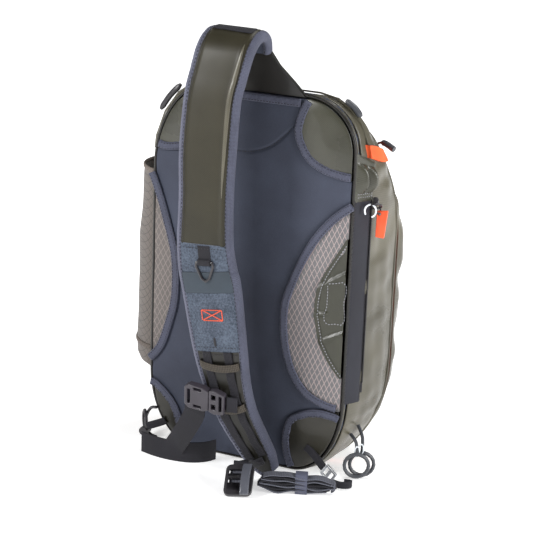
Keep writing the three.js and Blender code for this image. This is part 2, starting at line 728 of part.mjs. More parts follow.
function strapPoint(row, across, out) {
  const frame = strapFrame(row);
  return frame.centre.clone().addScaledVector(frame.side, across(frame.width / 2)).addScaledVector(frame.face, out);
}

// A layer of the strap between two rows: from and to give its edges across from half the strap's width there.
function strapLayer(rows, from, to, inner, outer) {
  const side = (out) => (i, j) => strapPoint(rows[i], j === 0 ? from : to, out);
  return sheet(rows.length - 1, 1, side(outer), side(inner));
}

function rowsBetween(first, last, step = 1) {
  const rows = [];
  for (let row = first; row < last; row += step) rows.push(row);
  rows.push(last);
  return rows;
}

const FACE_INNER = STRAP_THICK / 2 + GAP;
const FACE_OUTER = FACE_INNER + SKIN;
const WEB_INNER = FACE_OUTER + LAYER_GAP;
const WEB_OUTER = WEB_INNER + WEBBING_THICK;
const CROSS_INNER = WEB_OUTER + LAYER_GAP;
const CROSS_OUTER = CROSS_INNER + WEBBING_THICK;

function buildStrap() {
  const all = rowsBetween(0, TIP_ROW);
  const edge = (half) => half - STRAP_BINDING - LAYER_GAP;
  const left = (half) => -edge(half);
  addMesh('strap_pad', strapLayer(all, left, edge, -STRAP_THICK / 2, STRAP_THICK / 2), 'slatePad');
  const faces = [
    ['strap_face', 0, FACE_END_ROW, 'coatedOlive'],
    ['strap_felt', FACE_END_ROW, FELT_END_ROW, 'feltGrey'],
    ['strap_lower_face', FELT_END_ROW, TIP_ROW, 'coatedOlive'],
  ];
  const trim = 0.012;
  for (const [name, first, last, finish] of faces) {
    const rows = rowsBetween(first, last);
    rows[0] += first === 0 ? 0 : trim;
    addMesh(name, strapLayer(rows, left, edge, FACE_INNER, FACE_OUTER), finish);
  }
  addMesh('strap_band', strapLayer([BAND_TOP_ROW, BAND_END_ROW], left, edge, FACE_OUTER + GAP,
    FACE_OUTER + GAP + BAND_THICK), 'tealBand');
  const wrap = STRAP_THICK / 2 + SKIN + 0.8;
  for (const [name, side] of [['strap_binding_left', -1], ['strap_binding_right', 1]]) {
    const section = [[-STRAP_BINDING, -wrap], [-1.5, -wrap], [0, -wrap / 2], [0, wrap / 2], [-1.5, wrap],
      [-STRAP_BINDING, wrap]];
    addMesh(name, loft(all.map((row) => section.map(([inset, out]) => (
      strapPoint(row, (half) => side * (half + inset), out))))), 'slateBinding');
  }
  const patchRows = [APEX_ROW, APEX_ROW + 1];
  const patchEdge = (half) => half - STRAP_BINDING - 2;
  addMesh('strap_apex_patch', strapLayer(patchRows, (half) => -patchEdge(half), patchEdge, WEB_INNER, WEB_OUTER),
    'webbing');

  // Two narrow webbings down the lower face, held down by two cross webbings
  for (const [name, share] of [['daisy_web_left', -0.42], ['daisy_web_right', 0.38]]) {
    const half = 5.5;
    addMesh(name, strapLayer(rowsBetween(FELT_END_ROW + 0.03, TIP_ROW - 1.2, 0.5),
      (width) => share * width - half * (width / (STRAP_WIDTH / 2)),
      (width) => share * width + half * (width / (STRAP_WIDTH / 2)), WEB_INNER, WEB_OUTER), 'webbing');
  }
  for (const [name, row] of [['cross_web_upper', FELT_END_ROW + 0.24], ['cross_web_lower', FELT_END_ROW + 1.35]]) {
    const reach = (width) => width - STRAP_BINDING - GAP;
    addMesh(name, strapLayer([row, row + 0.16, row + 0.32], (width) => -reach(width), reach, CROSS_INNER,
      CROSS_OUTER), 'oliveWebbing');
  }
}

// Yoke: the tapered piece sewn to the top of the bag, which carries the strap
function buildYoke() {
  const baseZ = BAG_HEIGHT + GAP;
  const end = strapFrame(0);
  const thick = 4;
  const rings = [[0, 1.06], [0.35, 0.84], [0.7, 0.60]].map(([t, half]) => {
    const z = lerp(baseZ, end.centre.z, t);
    const y = lerp(PANEL_FLOOR_Y - PIPING_RADIUS, end.centre.y, t);
    const x = lerp(-0.064 * HALF_WIDTH, end.centre.x, t);
    const w = half * STRAP_WIDTH;
    return [vec(x - w, y - thick / 2, z), vec(x + w, y - thick / 2, z), vec(x + w, y + thick / 2, z),
      vec(x - w, y + thick / 2, z)];
  });
  const last = [[-1, -1], [1, -1], [1, 1], [-1, 1]].map(([a, n]) => end.centre.clone()
    .addScaledVector(end.side, (a * end.width) / 2)
    .addScaledVector(end.face, (-n * thick) / 2));
  const back = new THREE.Vector3().crossVectors(end.side, end.face).multiplyScalar(GAP);
  const sign = back.z > 0 ? -1 : 1;
  rings.push(last.map((point) => point.addScaledVector(back, sign)));
  return loft(rings);
}

// Assembly of the body
addMesh('main_shell', buildMainShell(), 'coatedOlive');
addMesh('front_gusset', buildGusset(), 'orange');
addMesh('front_pocket', buildFrontPocket(), 'coatedOlive');
addMesh('back_wall', prismXZ(seamOutline(0), BACK_WALL_Y, BACK_WALL_Y + BACK_WALL), 'slatePad');
buildBackPanel();
addMesh('edge_piping', buildPiping(), 'webbing');
addMesh('side_pocket', buildPocket(), 'pocketCloth');
addMesh('yoke', buildYoke(), 'coatedOlive');
buildStrap();

// Side zip on the right wall: a flat strip, its coil, the slider with its ring, a wire hook and a pull tab
const stripBack = RIM_Y + 1;
const stripFront = stripBack + STRIP_WIDTH;
const STRIP_BASE = 0.21 * BAG_HEIGHT;
const STRIP_TOP = 0.752 * BAG_HEIGHT;
const COIL_WIDTH = 3;
const COIL_THICK = 1.9;
const X_AXIS = vec(1, 0, 0);
const Y_AXIS = vec(0, 1, 0);
const Z_AXIS = vec(0, 0, 1);

function sideRectangle(fromY, toY, fromZ, toZ) {
  return [[fromY, fromZ], [toY, fromZ], [toY, toZ], [fromY, toZ]];
}

function buildSideZip() {
  const coilBack = stripFront + GAP;
  const coilFront = coilBack + COIL_WIDTH;
  const coilTop = STRIP_TOP - 0.02 * BAG_HEIGHT;
  addMesh('side_zip_strip', onSideWall(sideRectangle(stripBack, stripFront, STRIP_BASE, STRIP_TOP), 1, LAYER_GAP,
    SKIN), 'slatePad');
  addMesh('side_zip_coil', onSideWall(sideRectangle(coilBack, coilFront, STRIP_BASE + 0.05 * BAG_HEIGHT, coilTop), 1,
    LAYER_GAP, COIL_THICK), 'webbing');

  // The ring hangs from the slider and passes through the tab's eye; the hook passes through the ring
  const ringRadius = 6.5;
  const ringWire = 1.1;
  const eye = 2.2;
  const sliderY = (coilBack + coilFront) / 2;
  const sliderX = wallHalfWidth(sliderY) + LAYER_GAP + COIL_THICK + LAYER_GAP;
  const sliderZ = coilTop + 3;
  const lean = vec(0.32, 0, -0.95);
  const slider = plate([[0, -5], [4.5, -3], [6, 0], [6, 3], [4, 6], [0, 6]], [], 3,
    vec(sliderX, sliderY, sliderZ), X_AXIS, Z_AXIS);
  const held = vec(sliderX + 3.6, sliderY, sliderZ + 0.3);
  const ringCentre = held.clone().addScaledVector(lean, ringRadius);
  addMesh('side_zip_slider', join(slider, hoop(ringCentre, lean, Y_AXIS, ringRadius, ringWire, 12, 5)),
    'blackPlastic');
  const tabEye = ringCentre.clone().addScaledVector(lean, ringRadius);
  const tab = [[-3, 3], [10, 5], [7, -27], [-3, -27]];
  addMesh('orange_pull', plate(tab, [roundHole(0.2, 0, eye, 6)], 3, tabEye, X_AXIS, Z_AXIS), 'orangePull');
  const hookRadius = 8;
  const across = new THREE.Vector3().crossVectors(lean, Y_AXIS).normalize();
  const away = vec(-0.75, -0.65, 0.1).projectOnPlane(across).normalize();
  const hookCentre = ringCentre.clone().addScaledVector(away, hookRadius);
  const hook = [];
  for (let i = 0; i <= 12; i += 1) {
    const angle = lerp(-0.25, 1.45, i / 12) * Math.PI;
    hook.push(hookCentre.clone()
      .addScaledVector(away, -hookRadius * Math.cos(angle))
      .addScaledVector(across, hookRadius * Math.sin(angle)));
  }
  addMesh('slider_hook', bar(hook, () => ringWire, 6, 16), 'metal');
}

// Zips over the top of the body, and the soft pulls that lie on them

function bodySurface(y, index) {
  const low = Math.floor(index);
  const point = bodyPoint(y, low, false, 0).lerp(bodyPoint(y, low + 1, false, 0), index - low);
  const next = bodyPoint(y, low + 1, false, 0).sub(bodyPoint(y, low, false, 0));
  return { point, out: vec(next.z, 0, -next.x).normalize() };
}

function buildTopZips() {
  const zipBack = BACK_Y + 0.135 * BAG_DEPTH;
  const zip = sideRectangle(zipBack, zipBack + COIL_WIDTH + 2, 0.80 * BAG_HEIGHT, 1.1 * BAG_HEIGHT);
  const skin = closedBand(REAR_RINGS, OUTLINE_COUNT,
    (i, j) => rearPoint(i, j, -ZIP_GAP - COIL_THICK), (i, j) => rearPoint(i, j, -ZIP_GAP));
  addMesh('main_zip', toGeometry(toManifold(skin).intersect(toManifold(prismYZ(zip, -BAG_WIDTH, BAG_WIDTH)))),
    'webbing');
  const tubeRadius = 3.5;
  const lie = COIL_THICK + LAYER_GAP + tubeRadius + SEW_GAP;
  const tubeY = zipBack + COIL_WIDTH / 2;
  const lying = (from, to, extra) => [from, (from + to) / 2, to].map((index) => {
    const { point, out } = bodySurface(tubeY, index);
    return point.addScaledVector(out, lie + extra);
  });
  const rounded = (t) => tubeRadius * Math.min(1, 0.55 + 6 * Math.min(t, 1 - t));
  addMesh('top_pull_right', bar(lying(14.5, 13.4, 0), rounded, 8, 8), 'greyRubber');
  addMesh('top_pull_left', bar(lying(23.0, 21.7, 1.2), rounded, 8, 8), 'greyRubber');

  // The front pull: a cord that leaves the seam of the front pocket and ends in a soft tube
  const pullY = BACK_Y + 0.545 * BAG_DEPTH;
  const root = bodySurface(pullY, 13.9);
  const seamDip = vec(-1.9, -3.9, -1.7);
  const start = root.point.clone().addScaledVector(root.out, 1.6 + GAP).add(seamDip);
  const path = [start, start.clone().add(vec(6, -2, 12)), start.clone().add(vec(15, -5, 15)),
    start.clone().add(vec(29, -9, 10))];
  addMesh('front_pull', bar(path, (t) => (t < 0.5 ? 1.4 : Math.min(tubeRadius, 1.4 + 30 * (t - 0.5))), 8, 12),
    'greyRubber');
}

// Hardware on the shoulder strap

function strapAxes(row) {
  const frame = strapFrame(row);
  const side = frame.side.clone().normalize();
  const face = frame.face.clone().normalize();
  return { ...frame, side, face, down: new THREE.Vector3().crossVectors(side, face).normalize() };
}

function buildDRing() {
  const frame = strapAxes(FACE_END_ROW + 0.5);
  const wire = 1.5;
  const barHeight = 2.9;
  const tabWidth = 15;
  const top = strapPoint(FACE_END_ROW + 0.02, (half) => 0.04 * half, FACE_OUTER + GAP);
  const down = frame.side.clone().cross(frame.face);
  const sign = down.z < 0 ? 1 : -1;
  down.multiplyScalar(sign);
  const outline = [[0, 1], [1.8, 1], [1.8, 15], [4.6, 16.6], [5.6, 19.6], [4.6, 22.6], [2.8, 23.4], [0, 22]];
  const tab = plate(outline, [roundHole(barHeight, 19.6, wire + GAP + 0.1)], tabWidth, top, frame.face, down);
  addMesh('d_ring_tab', tab, 'webbing');
  const at = (across, along) => top.clone().addScaledVector(frame.face, barHeight)
    .addScaledVector(frame.side, across).addScaledVector(down, along);
  const loop = [[-9.5, 19.6], [9.5, 19.6], [10.5, 24], [4.5, 38], [0, 41], [-4.5, 38], [-10.5, 24]];
  addMesh('d_ring', wireLoop(loop.map(([a, b]) => at(a, b)), frame.face, wire, 6), 'blackPlastic');
}

// The waist webbing's run along the floor, where it stands on its edge

function floorPath(places) {
  return places.map(([x, reach]) => vec(x * HALF_WIDTH, BACK_Y - reach * STRAP_REACH, WEBBING_WIDTH / 2 + GAP));
}

function buildFloorWebbing() {
  const run = floorPath([[-0.91, 0.50], [-0.76, 0.57], [-0.576, 0.59], [-0.384, 0.52], [-0.264, 0.36],
    [-0.216, 0.20]]);
  return ribbon(run, run.map(() => Z_AXIS), WEBBING_WIDTH, WEBBING_THICK, 20);
}

// Side-release buckle at the strap's left edge: it lies on the lower cross webbing, held by a tab of webbing
function buildBuckle() {
  const row = FELT_END_ROW + 1.38;
  const frame = strapAxes(row);
  const thick = 9;
  const height = 32;
  const femaleLength = 30;
  const maleLength = 19;
  const centre = strapPoint(row, (half) => -0.66 * half, CROSS_OUTER + GAP + thick / 2);
  const along = vec(0.995, 0.02, -0.09).normalize();
  const up = new THREE.Vector3().crossVectors(frame.face, along).normalize();
  const female = [[-femaleLength / 2, 12], [-10, height / 2], [8, height / 2], [femaleLength / 2, 13],
    [femaleLength / 2, -13], [8, -height / 2], [-10, -height / 2], [-femaleLength / 2, -12]];
  const slot = [[-11.5, 10], [-8, 10], [-8, -10], [-11.5, -10]];
  const windows = [[[-4, 13.4], [6, 13.4], [6, 9.8], [-4, 9.8]], [[-4, -9.8], [6, -9.8], [6, -13.4], [-4, -13.4]]];
  const place = (distance) => centre.clone().addScaledVector(along, distance);
  addMesh('buckle_female', plate(female, [slot, ...windows], thick, place(-femaleLength / 2), along, up),
    'blackPlastic');
  const male = [[-maleLength / 2, 14], [-2, height / 2], [maleLength / 2, 13], [maleLength / 2, -13],
    [-2, -height / 2], [-maleLength / 2, -14]];
  const bars = [[[3, 10.5], [6.6, 10.5], [6.6, -10.5], [3, -10.5]], [[-6.5, 10], [-1, 10], [-1, 3], [-6.5, 3]],
    [[-6.5, -3], [-1, -3], [-1, -10], [-6.5, -10]]];
  addMesh('buckle_male', plate(male, bars, thick - 1, place(maleLength / 2 + GAP), along, up), 'blackPlastic');

  // The waist webbing leaves the buckle downwards and to the left and meets the floor
  const top = place(-0.62 * femaleLength).addScaledVector(up, -height / 2 - LAYER_GAP);
  const foot = vec(-0.60 * HALF_WIDTH, BACK_Y - 0.53 * STRAP_REACH, 8);
  const middle = top.clone().lerp(foot, 0.5).add(vec(4, -3, 0));
  const across = vec(0.95, 0, -0.25);
  const leaving = top.clone().addScaledVector(up, -7);
  const hanging = ribbon([top, leaving, middle, foot], [along, along, across, across], WEBBING_WIDTH,
    WEBBING_THICK, 9);
  addMesh('waist_web', join(hanging, buildFloorWebbing()), 'webbing');
  const tabAcross = place(maleLength + GAP + WEBBING_THICK);
  addMesh('buckle_tab', ribbon([tabAcross.clone(), tabAcross.clone().addScaledVector(along, 5)
    .addScaledVector(frame.face, -2.2), tabAcross.clone().addScaledVector(along, 12).addScaledVector(frame.face, -3.2)],
  [up, up, up], 20, WEBBING_THICK, 4), 'webbing');
}

function buildStrapEnd() {
  // The ladder lock leans on the floor in front of the strap's tip
  const lockWidth = 32;
  const lockHeight = 40;
  const lockThick = 4.5;
  const centre = vec(0.29 * HALF_WIDTH, BACK_Y - 1.17 * STRAP_REACH, 0.28 * lockHeight + lockThick / 2 + 1);
  const rise = vec(-0.26, 0.79, 0.56).normalize();
  const slots = [11, -1].map((b) => [[-12.8, b + 3], [12.8, b + 3], [12.8, b - 3], [-12.8, b - 3]]);
  const free = (row, lift) => strapPoint(row, (half) => -0.1 * half, WEB_INNER + WEBBING_THICK / 2 + lift);
  const lockEdge = centre.clone().addScaledVector(rise, lockHeight / 2 + GAP);
  const webPath = [free(TIP_ROW - 1.12, 0), free(TIP_ROW - 0.75, 2.5),
    lockEdge.clone().addScaledVector(rise, 6), lockEdge];
  const lockAcross = vec(0.94, 0.25, 0.1);
  const strapSide = strapFrame(TIP_ROW - 1).side;
  addMesh('strap_end_web', ribbon(webPath, [strapSide, strapSide, lockAcross, lockAcross], 0.7 * WEBBING_WIDTH,
    WEBBING_THICK, 8), 'webbing');
  addMesh('strap_end_buckle', plate(roundedRectangle(lockWidth, lockHeight, 6), slots, lockThick, centre,
    lockAcross, rise), 'blackPlastic');

  // The spare webbing, folded on itself and held by an elastic keeper, stands on its edge along the floor
  const stackThick = 11;
  const start = vec(0.43 * HALF_WIDTH, BACK_Y - 0.93 * STRAP_REACH, 0);
  const end = vec(1.12 * HALF_WIDTH, BACK_Y - 0.50 * STRAP_REACH, 0);
  const along = end.clone().sub(start);
  const length = along.length();
  along.normalize();
  const aside = vec(-along.y, along.x, 0);
  const height = 0.84 * WEBBING_WIDTH;
  const middle = start.clone().lerp(end, 0.5).setZ(height / 2 + GAP + 1.6);
  const half = length / 2;
  const belly = stackThick / 2;
  const leaf = [[-half, -8], [-0.72 * half, -9.5], [-0.16 * half, -belly], [0.24 * half, -belly], [0.48 * half, -7],
    [0.8 * half, -9], [half, -5], [half, -1], [0.8 * half, 4], [0.48 * half, belly], [0.24 * half, belly],
    [-0.16 * half, belly], [-0.72 * half, 5.5], [-half, 2]];
  const eye = [[0.48 * half, -3.2], [0.8 * half, -6], [0.93 * half, -3.6], [0.78 * half, 0.8]];
  const fold = [[-0.94 * half, -4], [-0.70 * half, -5.5], [-0.46 * half, -3], [-0.70 * half, 0.5]];
  const folded = plate(leaf, [eye, fold], height, middle, along, aside);
  const lockSide = centre.clone().addScaledVector(lockAcross.clone().normalize(), lockWidth / 2 + 4 * GAP)
    .addScaledVector(rise, -2).setZ(middle.z);
  const tailEnd = middle.clone().addScaledVector(along, -0.9 * half).addScaledVector(aside, -6.4);
  const tail = ribbon([lockSide, tailEnd], [Z_AXIS, Z_AXIS], 0.6 * height, WEBBING_THICK, 2);
  addMesh('web_bundle', join(folded, tail), 'webbing');
  const keeperWall = 1.3;
  const keeper = roundedRectangle(stackThick + 2 * (keeperWall + GAP), height + 2 * (keeperWall + GAP), 2.5);
  const inside = roundedRectangle(stackThick + 2 * GAP, height + 2 * GAP, 0.4);
  addMesh('bundle_keeper', plate(keeper, [inside], 0.3 * half, middle.clone().addScaledVector(along, 0.04 * half),
    aside, Z_AXIS), 'slateBinding');
}

// Lower corners: webbing tabs with adjusters on the right, a cord loop and its lock on the left
function buildCorners() {
  const onPanel = (x, z, lift) => vec(x, BACK_Y - crown(x, z) - LAYER_GAP - lift, z);
  const root = onPanel(0.66 * HALF_WIDTH, 0.080 * BAG_HEIGHT, 2);
  const foot = root.clone().add(vec(27, -9, -17));
  const rootAcross = vec(0.5, 0, 0.86);
  addMesh('right_corner_tab', ribbon([root, root.clone().add(vec(6, 0, -3.5)), foot], [rootAcross, rootAcross,
    rootAcross], 9, 4, 6), 'webbing');
  const slope = foot.clone().sub(root).normalize();
  const slideUp = vec(0.35, 0.1, 0.9);
  const glide = foot.clone().addScaledVector(slope, 9.5);
  const holes = [[[-6, 5], [-2, 5], [-2, -5], [-6, -5]], [[2, 5], [6, 5], [6, -5], [2, -5]]];
  addMesh('corner_slider', plate(roundedRectangle(18, 15, 2), holes, 3, glide, slope, slideUp), 'metal');
  const low = 4 + GAP;
  const from = glide.clone().addScaledVector(slope, 9 + GAP).setZ(low + 1);
  addMesh('corner_loop', ribbon([from, from.clone().add(vec(8, -2, 0)), from.clone().add(vec(17, 2, 0)),
    from.clone().add(vec(19, 8, 0)), from.clone().add(vec(10, 7, 0))], [Z_AXIS, Z_AXIS, Z_AXIS, Z_AXIS, Z_AXIS],
  2 * low, WEBBING_THICK, 12), 'webbing');

  const leftRoot = onPanel(-0.80 * HALF_WIDTH, 0.068 * BAG_HEIGHT, 1.5);
  const lockRadius = 5.5;
  const loopRadius = 11;
  const loopWire = 2;
  const loopSide = vec(0.6, -0.8, 0);
  const loopCentre = vec(-1.055 * HALF_WIDTH, BACK_Y + 0.04 * BAG_DEPTH, 22.5);
  const leftFoot = loopCentre.clone().addScaledVector(loopSide, loopRadius + loopWire + SEW_GAP).add(vec(0.9, -0.9, -3));
  const leftAcross = vec(0.45, 0, -0.9);
  addMesh('left_corner_tab', ribbon([leftRoot, leftRoot.clone().add(vec(-5, 0, -3)), leftFoot],
    [leftAcross, leftAcross, leftAcross], 9, 3, 5), 'webbing');
  const loop = hoop(loopCentre, loopSide, Z_AXIS, loopRadius, loopWire, 14, 6);
  const lock = new THREE.CylinderGeometry(lockRadius, lockRadius, 12, 10);
  lock.translate(loopCentre.x + 2, loopCentre.y - 3, loopCentre.z - loopRadius - 1.4);
  addMesh('left_cord_lock', join(loop, lock), 'blackPlastic');
}

// Two ring pulls hang beside the lower right corner, each from the slider of the front pocket's zip
function buildRingPulls() {
  const linkRadius = 2;
  const sliderY = BACK_Y + 0.21 * BAG_DEPTH;
  const holder = bodySurface(sliderY, 5.3).point;
  const names = ['ring_pull_front', 'ring_pull_back'];
  names.forEach((name, i) => {
    const outwards = vec(0.91, 0.41, 0).normalize();
    const shift = vec(3.5 * i, 7.5 * i, 0);
    const { point, out } = bodySurface(sliderY - 4 + 8 * i, 5.3 + 0.25 * i);
    const top = point.addScaledVector(out, linkRadius / 2 + GAP);
    const ringTop = vec(holder.x + 12, holder.y - 13, 2 * RING_RADIUS + RING_WIRE + 1).add(shift);
    const centre = ringTop.clone().add(vec(0.6, -1.5, -RING_RADIUS));
    const ring = hoop(centre, outwards, Z_AXIS, RING_RADIUS, RING_WIRE, 18, 6);
    const link = bar([top, top.clone().lerp(ringTop, 0.5).add(vec(3, -1, 3)), ringTop], () => linkRadius, 6, 6);
    addMesh(name, join(ring, link), 'greyRubber');
  });
}

buildSideZip();
buildTopZips();
buildDRing();
buildBuckle();
buildStrapEnd();
buildCorners();
buildRingPulls();

export default group;
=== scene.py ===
# %% [markdown]
# A tackle sling bag stands on its base and shows its padded back. The strap loops over the panel.
# Everything soft is made here as a surface worked out with numpy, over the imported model, which gives
# every place and size.

# %% Load the frame and keep its box
import math
import bmesh
import bpy
import numpy as np
from mathutils import Matrix, Vector


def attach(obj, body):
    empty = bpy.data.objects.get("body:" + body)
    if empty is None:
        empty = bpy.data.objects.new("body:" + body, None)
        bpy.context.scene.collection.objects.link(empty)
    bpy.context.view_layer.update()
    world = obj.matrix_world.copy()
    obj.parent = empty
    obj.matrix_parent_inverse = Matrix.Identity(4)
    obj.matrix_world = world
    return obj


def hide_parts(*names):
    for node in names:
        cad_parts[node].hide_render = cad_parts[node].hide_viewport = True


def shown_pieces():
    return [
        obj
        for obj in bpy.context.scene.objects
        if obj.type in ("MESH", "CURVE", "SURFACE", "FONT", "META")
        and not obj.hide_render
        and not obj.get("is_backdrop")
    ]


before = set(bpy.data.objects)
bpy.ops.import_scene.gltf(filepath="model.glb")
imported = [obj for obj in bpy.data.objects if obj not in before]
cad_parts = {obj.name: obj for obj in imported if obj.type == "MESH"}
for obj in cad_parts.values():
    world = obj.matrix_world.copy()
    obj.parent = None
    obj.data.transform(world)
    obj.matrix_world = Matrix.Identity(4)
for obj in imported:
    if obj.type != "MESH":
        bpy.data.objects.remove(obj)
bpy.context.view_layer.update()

# %% [markdown]
# The camera comes first, because every crop is compared through it. A long lens far away keeps the bag's
# sides nearly parallel, as a product photographer would. The roll tilts the frame a little.

# %% Camera
AZIMUTH = math.radians(24.0)
ELEVATION = math.radians(17.5)
ROLL = math.radians(2.2)
LENS_MM = 118.2
SENSOR_MM = 36.0
DISTANCE = 2.041
TARGET = Vector((0.0, 0.0, 0.222))
AIM_RIGHT, AIM_UP = -0.0013, 0.0015

back = Vector((math.sin(AZIMUTH) * math.cos(ELEVATION), -math.cos(AZIMUTH) * math.cos(ELEVATION),
               math.sin(ELEVATION)))
right = Vector((math.cos(AZIMUTH), math.sin(AZIMUTH), 0.0))
up = back.cross(right)
turned_right = right * math.cos(ROLL) + up * math.sin(ROLL)
turned_up = up * math.cos(ROLL) - right * math.sin(ROLL)
aim = TARGET + right * AIM_RIGHT + up * AIM_UP
camera_data = bpy.data.cameras.new("photo_camera")
camera_data.lens = LENS_MM
camera_data.sensor_width = SENSOR_MM
camera = bpy.data.objects.new("photo_camera", camera_data)
bpy.context.scene.collection.objects.link(camera)
axes = Matrix((turned_right, turned_up, back)).transposed().to_4x4()
camera.matrix_world = Matrix.Translation(aim + back * DISTANCE) @ axes
bpy.context.scene.camera = camera
print("camera", DISTANCE, "m away with a lens of", LENS_MM, "mm")

# %% [markdown]
# The stage is a wide white floor under an even white sky, with one large soft light from the upper left
# and a weaker one from the right. The bag then has soft shadows and pale reflections, and the floor melts
# into the sky.

# %% Stage
FLOOR_SIZE = 12.0
# Share of the sky's light that falls on the bag, while the camera sees the sky as pure white
SKY_ON_BAG = 0.17


def area_light(name, place, size, power):
    """A square soft light that looks at the middle of the bag from its place."""
    data = bpy.data.lights.new(name, "AREA")
    data.size = size
    data.energy = power
    light = bpy.data.objects.new(name, data)
    turn = (TARGET - Vector(place)).to_track_quat("-Z", "Y")
    light.matrix_world = Matrix.Translation(place) @ turn.to_matrix().to_4x4()
    bpy.context.scene.collection.objects.link(light)
    return light


floor_mesh = bpy.data.meshes.new("floor")
floor_corners = [(a * FLOOR_SIZE / 2, b * FLOOR_SIZE / 2, 0) for a, b in ((-1, -1), (1, -1), (1, 1), (-1, 1))]
floor_mesh.from_pydata(floor_corners, [], [(0, 1, 2, 3)])
floor = bpy.data.objects.new("floor", floor_mesh)
bpy.context.scene.collection.objects.link(floor)
floor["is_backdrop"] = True
area_light("key_light", (-1.15, -1.55, 1.2), 0.55, 36.0).data.specular_factor = 0.5
area_light("side_light", (2.0, -0.45, 0.8), 0.8, 34.0)
area_light("top_light", (0.5, 0.7, 1.8), 0.9, 18.0).data.specular_factor = 0.1
world = bpy.data.worlds.new("studio")
world.use_nodes = True
world_nodes, world_links = world.node_tree.nodes, world.node_tree.links
sky = world_nodes["Background"]
sky.inputs["Color"].default_value = (1.0, 1.0, 1.0, 1.0)
ray = world_nodes.new("ShaderNodeLightPath")
strength = world_nodes.new("ShaderNodeMapRange")
strength.inputs["To Min"].default_value = SKY_ON_BAG
strength.inputs["To Max"].default_value = 1.0
world_links.new(ray.outputs["Is Camera Ray"], strength.inputs["Value"])
world_links.new(strength.outputs["Result"], sky.inputs["Strength"])
bpy.context.scene.world = world
bpy.context.scene.view_settings.view_transform = "Standard"
print("stage: floor of", FLOOR_SIZE, "m and three lights")

# %% [markdown]
# Shader maths reads best as plain formulas. A small wrapper round a socket gives it + - * / and
# comparison, and one method makes any other node from its type, its settings and what goes into its
# sockets.

# %% Shader helper


class Sock:
    """An output socket with arithmetic: each operator adds one Math node."""

    def __init__(self, maker, socket):
        self.maker = maker
        self.socket = socket

    def _math(self, operation, a, b=None):
        inputs = {0: a} if b is None else {0: a, 1: b}
        return self.maker.node("ShaderNodeMath", {"operation": operation}, inputs)

    def __add__(self, other):
        return self._math("ADD", self, other)

    def __radd__(self, other):
        return self._math("ADD", other, self)

    def __sub__(self, other):
        return self._math("SUBTRACT", self, other)

    def __rsub__(self, other):
        return self._math("SUBTRACT", other, self)

    def __mul__(self, other):
        return self._math("MULTIPLY", self, other)

    def __rmul__(self, other):
        return self._math("MULTIPLY", other, self)

    def __truediv__(self, other):
        return self._math("DIVIDE", self, other)

    def __rtruediv__(self, other):
        return self._math("DIVIDE", other, self)

    def __gt__(self, other):
        return self._math("GREATER_THAN", self, other)

    def __lt__(self, other):
        return self._math("LESS_THAN", self, other)

    def sin(self):
        return self._math("SINE", self)

    def abs(self):
        return self._math("ABSOLUTE", self)

    def frac(self):
        return self._math("FRACT", self)

    def power(self, other):
        return self._math("POWER", self, other)

    def max(self, other):
        return self._math("MAXIMUM", self, other)


class Finish:
    """One material and the nodes in it."""

    def __init__(self, name):
        self.material = bpy.data.materials.new(name)
        self.material.use_nodes = True
        self.tree = self.material.node_tree
        self.shader = self.tree.nodes["Principled BSDF"]

    def node(self, kind, settings=None, inputs=None, output=0):
        """Adds a node; settings are its own properties, inputs are values or Socks by name or number."""
        made = self.tree.nodes.new(kind)
        for key, value in (settings or {}).items():
            setattr(made, key, value)
        for key, value in (inputs or {}).items():
            if isinstance(value, Sock):
                self.tree.links.new(value.socket, made.inputs[key])
            else:
                made.inputs[key].default_value = value
        return Sock(self, made.outputs[output])

    def set(self, **values):
        """Fills sockets of the shader: Base_Color=... sets Base Color, by value or by link."""
        for key, value in values.items():
            socket = self.shader.inputs[key.replace("_", " ")]
            if isinstance(value, Sock):
                self.tree.links.new(value.socket, socket)
            else:
                socket.default_value = value

    def place(self, space="Object"):
        """The x, y and z of Object coordinates, or of the piece's own UV map."""
        point = self.node("ShaderNodeTexCoord", output=space)
        parts = self.tree.nodes.new("ShaderNodeSeparateXYZ")
        self.tree.links.new(point.socket, parts.inputs[0])
        return point, [Sock(self, out) for out in parts.outputs]

    def noise(self, point, scale, detail=3.0):
        """Soft random clouds, scale of them to a metre, with finer ones inside for each step of detail."""
        inputs = {"Vector": point, "Scale": scale, "Detail": detail, "Roughness": 0.55}
        return self.node("ShaderNodeTexNoise", {}, inputs)

    def mix(self, factor, a, b):
        """Blends two colours: a * (1 - factor) + b * factor."""
        inputs = {0: factor, 6: a, 7: b}
        return self.node("ShaderNodeMix", {"data_type": "RGBA"}, inputs, output=2)

    def spread(self, value, low, high):
        """Stretches a value so that low becomes 0 and high becomes 1."""
        return self.node("ShaderNodeMapRange", {}, {0: value, 1: low, 2: high, 3: 0.0, 4: 1.0})

    def bump(self, height, strength, distance):
        """Turns a height, 0 to 1, into small slopes; distance is how tall 1 stands, in metres."""
        return self.node("ShaderNodeBump", {}, {"Height": height, "Strength": strength, "Distance": distance})


def srgb(red, green, blue):
    """A colour from 0 to 255, as it looks on a screen, as the linear values that a shader takes."""
    values = np.array([red, green, blue]) / 255.0
    linear = np.where(values <= 0.04045, values / 12.92, ((values + 0.055) / 1.055) ** 2.4)
    return (*map(float, linear), 1.0)


print("shader helper ready")

# %% [markdown]
# Each finish gets what the real cloth shows: threads as a fine bump at their real pitch, uneven dye as a
# soft noise in the colour, and gloss that follows both. Threads follow the piece's own UV map, which is
# laid out in metres.

# %% Cloth finishes


